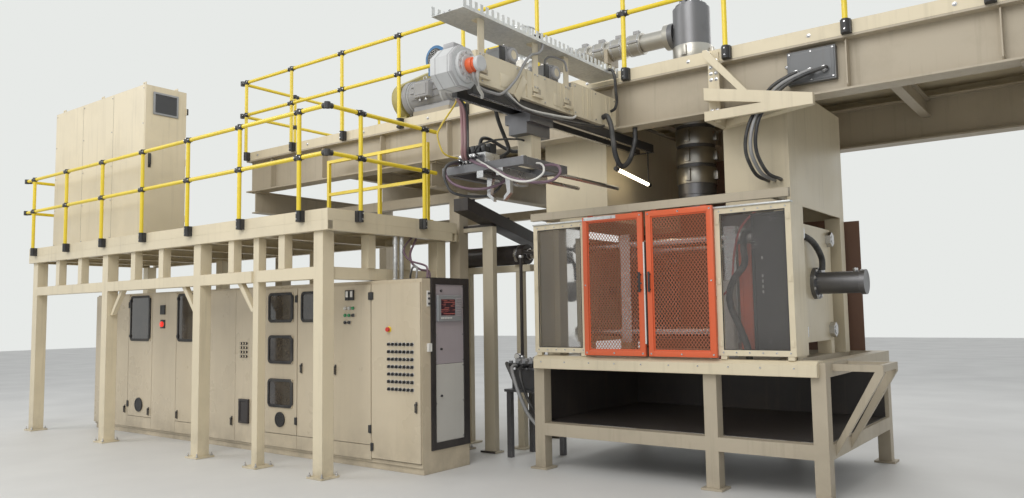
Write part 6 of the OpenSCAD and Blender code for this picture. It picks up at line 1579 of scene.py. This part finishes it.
clampRuns = [
    ("clampHose1", [(1.36, 2.825, 2.062), (1.36, 2.82, 2.16), (1.4, 2.7, 2.3), (1.42, 2.4, 2.38),
                    (1.42, 2.15, 2.3), (1.4, 2.06, 2.0), (1.39, 2.02, 1.6), (1.37, 2.05, 1.36),
                    (1.31, 2.13, 1.24), (1.26, 2.2, 1.2), (1.215, 2.22, 1.18), (1.2, 2.22, 1.1301)],
     0.022, "blackHose"),
    ("clampHose2", [(1.68, 2.825, 2.062), (1.68, 2.82, 2.18), (1.66, 2.68, 2.32), (1.58, 2.35, 2.42),
                    (1.5, 2.05, 2.34), (1.46, 1.97, 2.0), (1.45, 1.95, 1.6), (1.43, 1.99, 1.36),
                    (1.38, 2.06, 1.24), (1.33, 2.12, 1.2), (1.302, 2.14, 1.18), (1.3, 2.14, 1.1301)],
     0.022, "blackHose"),
    ("clampHose3", [(4.32, 2.825, 2.062), (4.32, 2.81, 2.2), (4.28, 2.6, 2.36), (4.15, 2.3, 2.44),
                    (3.99, 2.05, 2.45), (3.9, 1.85, 2.4), (3.92, 1.74, 2.25), (3.93, 1.72, 2.1),
                    (3.828, 1.72, 1.967), (3.773, 1.72, 1.827), (3.789, 1.72, 1.684), (3.848, 1.72, 1.542),
                    (3.897, 1.72, 1.419), (3.93, 1.72, 1.32), (3.945, 1.72, 1.2005)], 0.032, "blackHose"),
    ("airLine", [(3.676, 1.68, 1.2005), (3.676, 1.68, 1.26), (3.673, 1.68, 1.384), (3.664, 1.68, 1.49),
                 (3.654, 1.68, 1.615), (3.64, 1.68, 1.73), (3.67, 1.68, 1.8), (3.74, 1.7, 1.83),
                 (3.8, 1.73, 1.95), (3.81, 1.78, 2.2), (3.86, 1.84, 2.45), (3.98, 1.9, 2.6),
                 (4.03, 1.94, 2.66)], 0.01, "redHose"),
    ("standHose1", [(0.995, 2.0, 1.07), (0.995, 1.93, 1.07), (1.03, 1.82, 1.1), (1.12, 1.76, 1.02),
                    (1.2, 1.78, 0.84), (1.26, 1.84, 0.62), (1.34, 1.88, 0.5), (1.45, 1.86, 0.47),
                    (1.56, 1.8, 0.46)], 0.02, "blackHose"),
    ("standHose2", [(1.095, 2.0, 1.07), (1.095, 1.92, 1.07), (1.12, 1.8, 1.06), (1.2, 1.72, 0.96),
                    (1.28, 1.72, 0.76), (1.36, 1.76, 0.56), (1.44, 1.78, 0.46), (1.5, 1.76, 0.42),
                    (1.56, 1.72, 0.41)], 0.02, "greyHose"),
    ("standHose3", [(1.195, 2.0, 1.07), (1.195, 1.92, 1.07), (1.22, 1.82, 1.03), (1.27, 1.78, 0.9),
                    (1.33, 1.8, 0.72), (1.4, 1.84, 0.58), (1.46, 1.86, 0.5), (1.5, 1.86, 0.44),
                    (1.56, 1.84, 0.4)], 0.018, "blackHose"),
]
layAll(clampRuns)


standSet = {"firstX": 0.995, "pitch": 0.1, "valves": 4, "valveZ": 1.07, "bottleY": 2.6, "bottleZ": 2.415}


def addStandDetails(s):
    parts, caps = [], []
    valves = [s["firstX"] + i * s["pitch"] for i in range(s["valves"])]
    for x in valves:
        for y0, y1 in ((1.9, 2.002), (2.478, 2.58)):
            parts.append(addRod((x, y0 + 0.02, s["valveZ"]), (x, y1, s["valveZ"]), 0.0275, 22, 0.003))
            middle = (y0 + y1) / 2
            caps.append(addBox((x - 0.018, middle - 0.02, 1.095), (x + 0.018, middle + 0.02, 1.125), 0.004))
    finishPiece(parts, "valveCoils", "blackPlastic")
    finishPiece(caps, "coilPlugs", "greyPlastic")
    body = []
    for x in valves:
        valve = addBox((x - 0.0365, 2.0785, 1.0108), (x + 0.0365, 2.4015, 1.1315), 0.004)
        body.append(pressIn(valve, toTop, 0.01, -0.004))
    finishPiece(body, "valveBodies", "grey")
    screw = socketScrew(0.01, 0.009)
    places = [(x + dx, y, 1.1354) for x in valves for dx in (-0.025, 0.025) for y in (2.11, 2.37)]
    useUp(screw, places, "valveScrews", "steel")
    gauge = addRod((0.92, 2.2, 1.16), (0.92, 2.168, 1.16), 0.04, 28, 0.004)
    pressIn(gauge, toFront, 0.006, 0.004)
    stem = addRod((0.955, 2.185, 1.0), (0.955, 2.185, 1.005), 0.01, 12, 0.001)
    pipe = addRod((0.92, 2.184, 1.0), (0.92, 2.184, 1.13), 0.009, 12, 0.001)
    foot = addBox((0.9, 2.165, 0.99), (0.962, 2.205, 1.0085), 0.003)
    finishPiece([gauge, stem, pipe, foot], "pressureGauge", "steel")
    dial = addRod((0.92, 2.1705, 1.16), (0.92, 2.1675, 1.16), 0.033, 28, 0.0008)
    finishPiece(dial, "gaugeFace", "whitePlastic")
    y, z = s["bottleY"], s["bottleZ"]        # straps round the accumulator
    bands = [addRod((x - 0.02, y, z), (x + 0.02, y, z), 0.1285, 44, 0.002) for x in (-0.18, 0.25, 0.68)]
    for x in (-0.18, 0.68):
        bands += [addBox((x - 0.02, ear - 0.008, 2.385), (x + 0.02, ear + 0.008, 2.43), 0.003)
                  for ear in (y - 0.134, y + 0.134)]
    finishPiece(bands, "accumulatorStraps", "steel")
    neck = [addRod((0.8005, y, z), (0.83, y, z), 0.075, 8, 0.003),
            addRod((0.865, y, z), (0.893, y, z), 0.063, 30, 0.003)]
    neck += [addRod((0.978, 2.2, z), (0.978, 2.2, z + 0.03), 0.03, 6, 0.002) for z in (1.1385, 2.34)]
    finishPiece(neck, "accumulatorFittings", "steel")
    flanges = []
    for t in (0.05, 0.35, 0.65, 0.95):        # stiffening ribs across the sloping chute
        y, z = 1.62 + 2.28 * t, 3.05 - 0.54 * t
        flanges.append(addBox((0.412, y - 0.012, z - 0.004), (0.648, y + 0.012, z + 0.02), 0.003))
    finishPiece(flanges, "ductRibs", "black")


addStandDetails(standSet)
print("hydraulics dressed")

# decks, bracket and the small things on them


def addBracketDetails():
    bolt = hexBolt(0.013, 0.01)
    places = [turned((x, 1.5604, z), toFront) for x in (3.735, 3.785) for z in (3.5, 3.56, 3.86, 3.92, 3.98, 4.04)]
    copiesOf(bolt, places, "bracketBolts", "steel")
    places = [turned((x, 1.5747, 4.09), toFront) for x in [-3.4 + 1.15 * i for i in range(9)] if not 3.6 < x < 3.9]
    useUp(bolt, places, "fasciaBolts", "steel")
    finishPiece(pressIn(addBox((4.452, 1.6085, 3.692), (4.848, 1.6146, 3.968), 0.003), toFront, 0.02, -0.0015),
                "boxLid", "boxGrey")
    screw = socketScrew(0.008, 0.004)
    places = [turned((x, 1.6084, z), toFront) for x in (4.462, 4.65, 4.838) for z in (3.702, 3.958)]
    useUp(screw, places, "boxScrews", "steel")
    nut = addRod((0, 0, 0), (0, 0, 0.018), 0.031, 6, 0.002)
    dome = addRod((0, 0, 0.016), (0, 0, 0.042), 0.026, 24, 0.006)
    gland = joinAll([nut, dome], "glandModel")
    useUp(gland, [turned((x, 1.592, 3.77), toFront) for x in glandAt], "boxGlands", "steel")
    # blank fittings in the box's left end
    blanks = [addRod((4.4398, 1.645, z), (4.415, 1.645, z), 0.02, 8, 0.003) for z in (3.76, 3.86)]
    finishPiece(blanks, "boxBlanks", "steel")
    plates = []
    for x in (-0.62, -1.565, -3.1, -3.8, -5.3, -6.0):        # end plates welded under the struts
        plates.append(addBox((x - 0.062, -0.0795, 2.1985), (x + 0.062, 0.034, 2.2045), 0.002))
    finishPiece(plates, "strutPlates", "cream")
    couplers = []
    for y in (0.9, 1.0):        # lock nut, coupling, upper nut and tube of each conduit on the cabinets
        for z0, z1, r, sides, edge in ((2.0605, 2.09, 0.034, 8, 0.003), (2.25, 2.31, 0.0275, 24, 0.003),
                                       (2.48, 2.52, 0.03, 8, 0.003), (2.09, 2.572, 0.0262, 24, 0.001)):
            couplers.append(addRod((0.155, y, z0), (0.155, y, z1), r, sides, edge))
    finishPiece(couplers, "conduits", "zinc")


addBracketDetails()

topRuns = [
    ("roofCable1", [(0.72, 0.82, 2.0605), (0.72, 0.83, 2.12), (0.66, 0.88, 2.2), (0.52, 0.93, 2.24),
                    (0.36, 0.95, 2.28), (0.24, 0.97, 2.36), (0.17, 1.03, 2.44), (0.14, 1.1, 2.5),
                    (0.13, 1.18, 2.56), (0.13, 1.2, 2.573)], 0.011, "purpleHose"),
    ("roofCable2", [(0.68, 0.9, 2.0605), (0.68, 0.91, 2.1), (0.6, 0.97, 2.16), (0.46, 1.0, 2.18),
                    (0.3, 1.03, 2.26), (0.2, 1.1, 2.38), (0.15, 1.2, 2.48), (0.13, 1.26, 2.55),
                    (0.13, 1.27, 2.573)], 0.013, "purpleHose"),
    ("roofCable3", [(0.6, 0.78, 2.0605), (0.6, 0.79, 2.13), (0.55, 0.84, 2.2), (0.43, 0.9, 2.2),
                    (0.33, 0.97, 2.13), (0.25, 1.05, 2.09), (0.2, 1.12, 2.08), (0.14, 1.2, 2.075),
                    (0.1, 1.28, 2.0735)], 0.012, "greyHose"),
]
layAll(topRuns)


lampSet = {"start": (2.6, 1.717, 3.16), "end": (2.6, 2.425, 3.08), "ceiling": 3.5505}


def addInnerLamp(s):        # warm tube light under the upper deck, over the clamp
    start, end = Vector(s["start"]), Vector(s["end"])
    along = (end - start).normalized()
    finishPiece(addRod(start, end, 0.019, 18, 0.004), "lampTube", "lamp")
    ends = [addRod(start - along * 0.03, start + along * 0.02, 0.025, 20, 0.004),
            addRod(end - along * 0.02, end + along * 0.03, 0.025, 20, 0.004)]
    ends += [addBox((p.x - 0.006, p.y - 0.006, p.z + 0.01), (p.x + 0.006, p.y + 0.006, s["ceiling"]), 0.002)
             for p in (start, end)]
    finishPiece(ends, "lampHolders", "black")


addInnerLamp(lampSet)
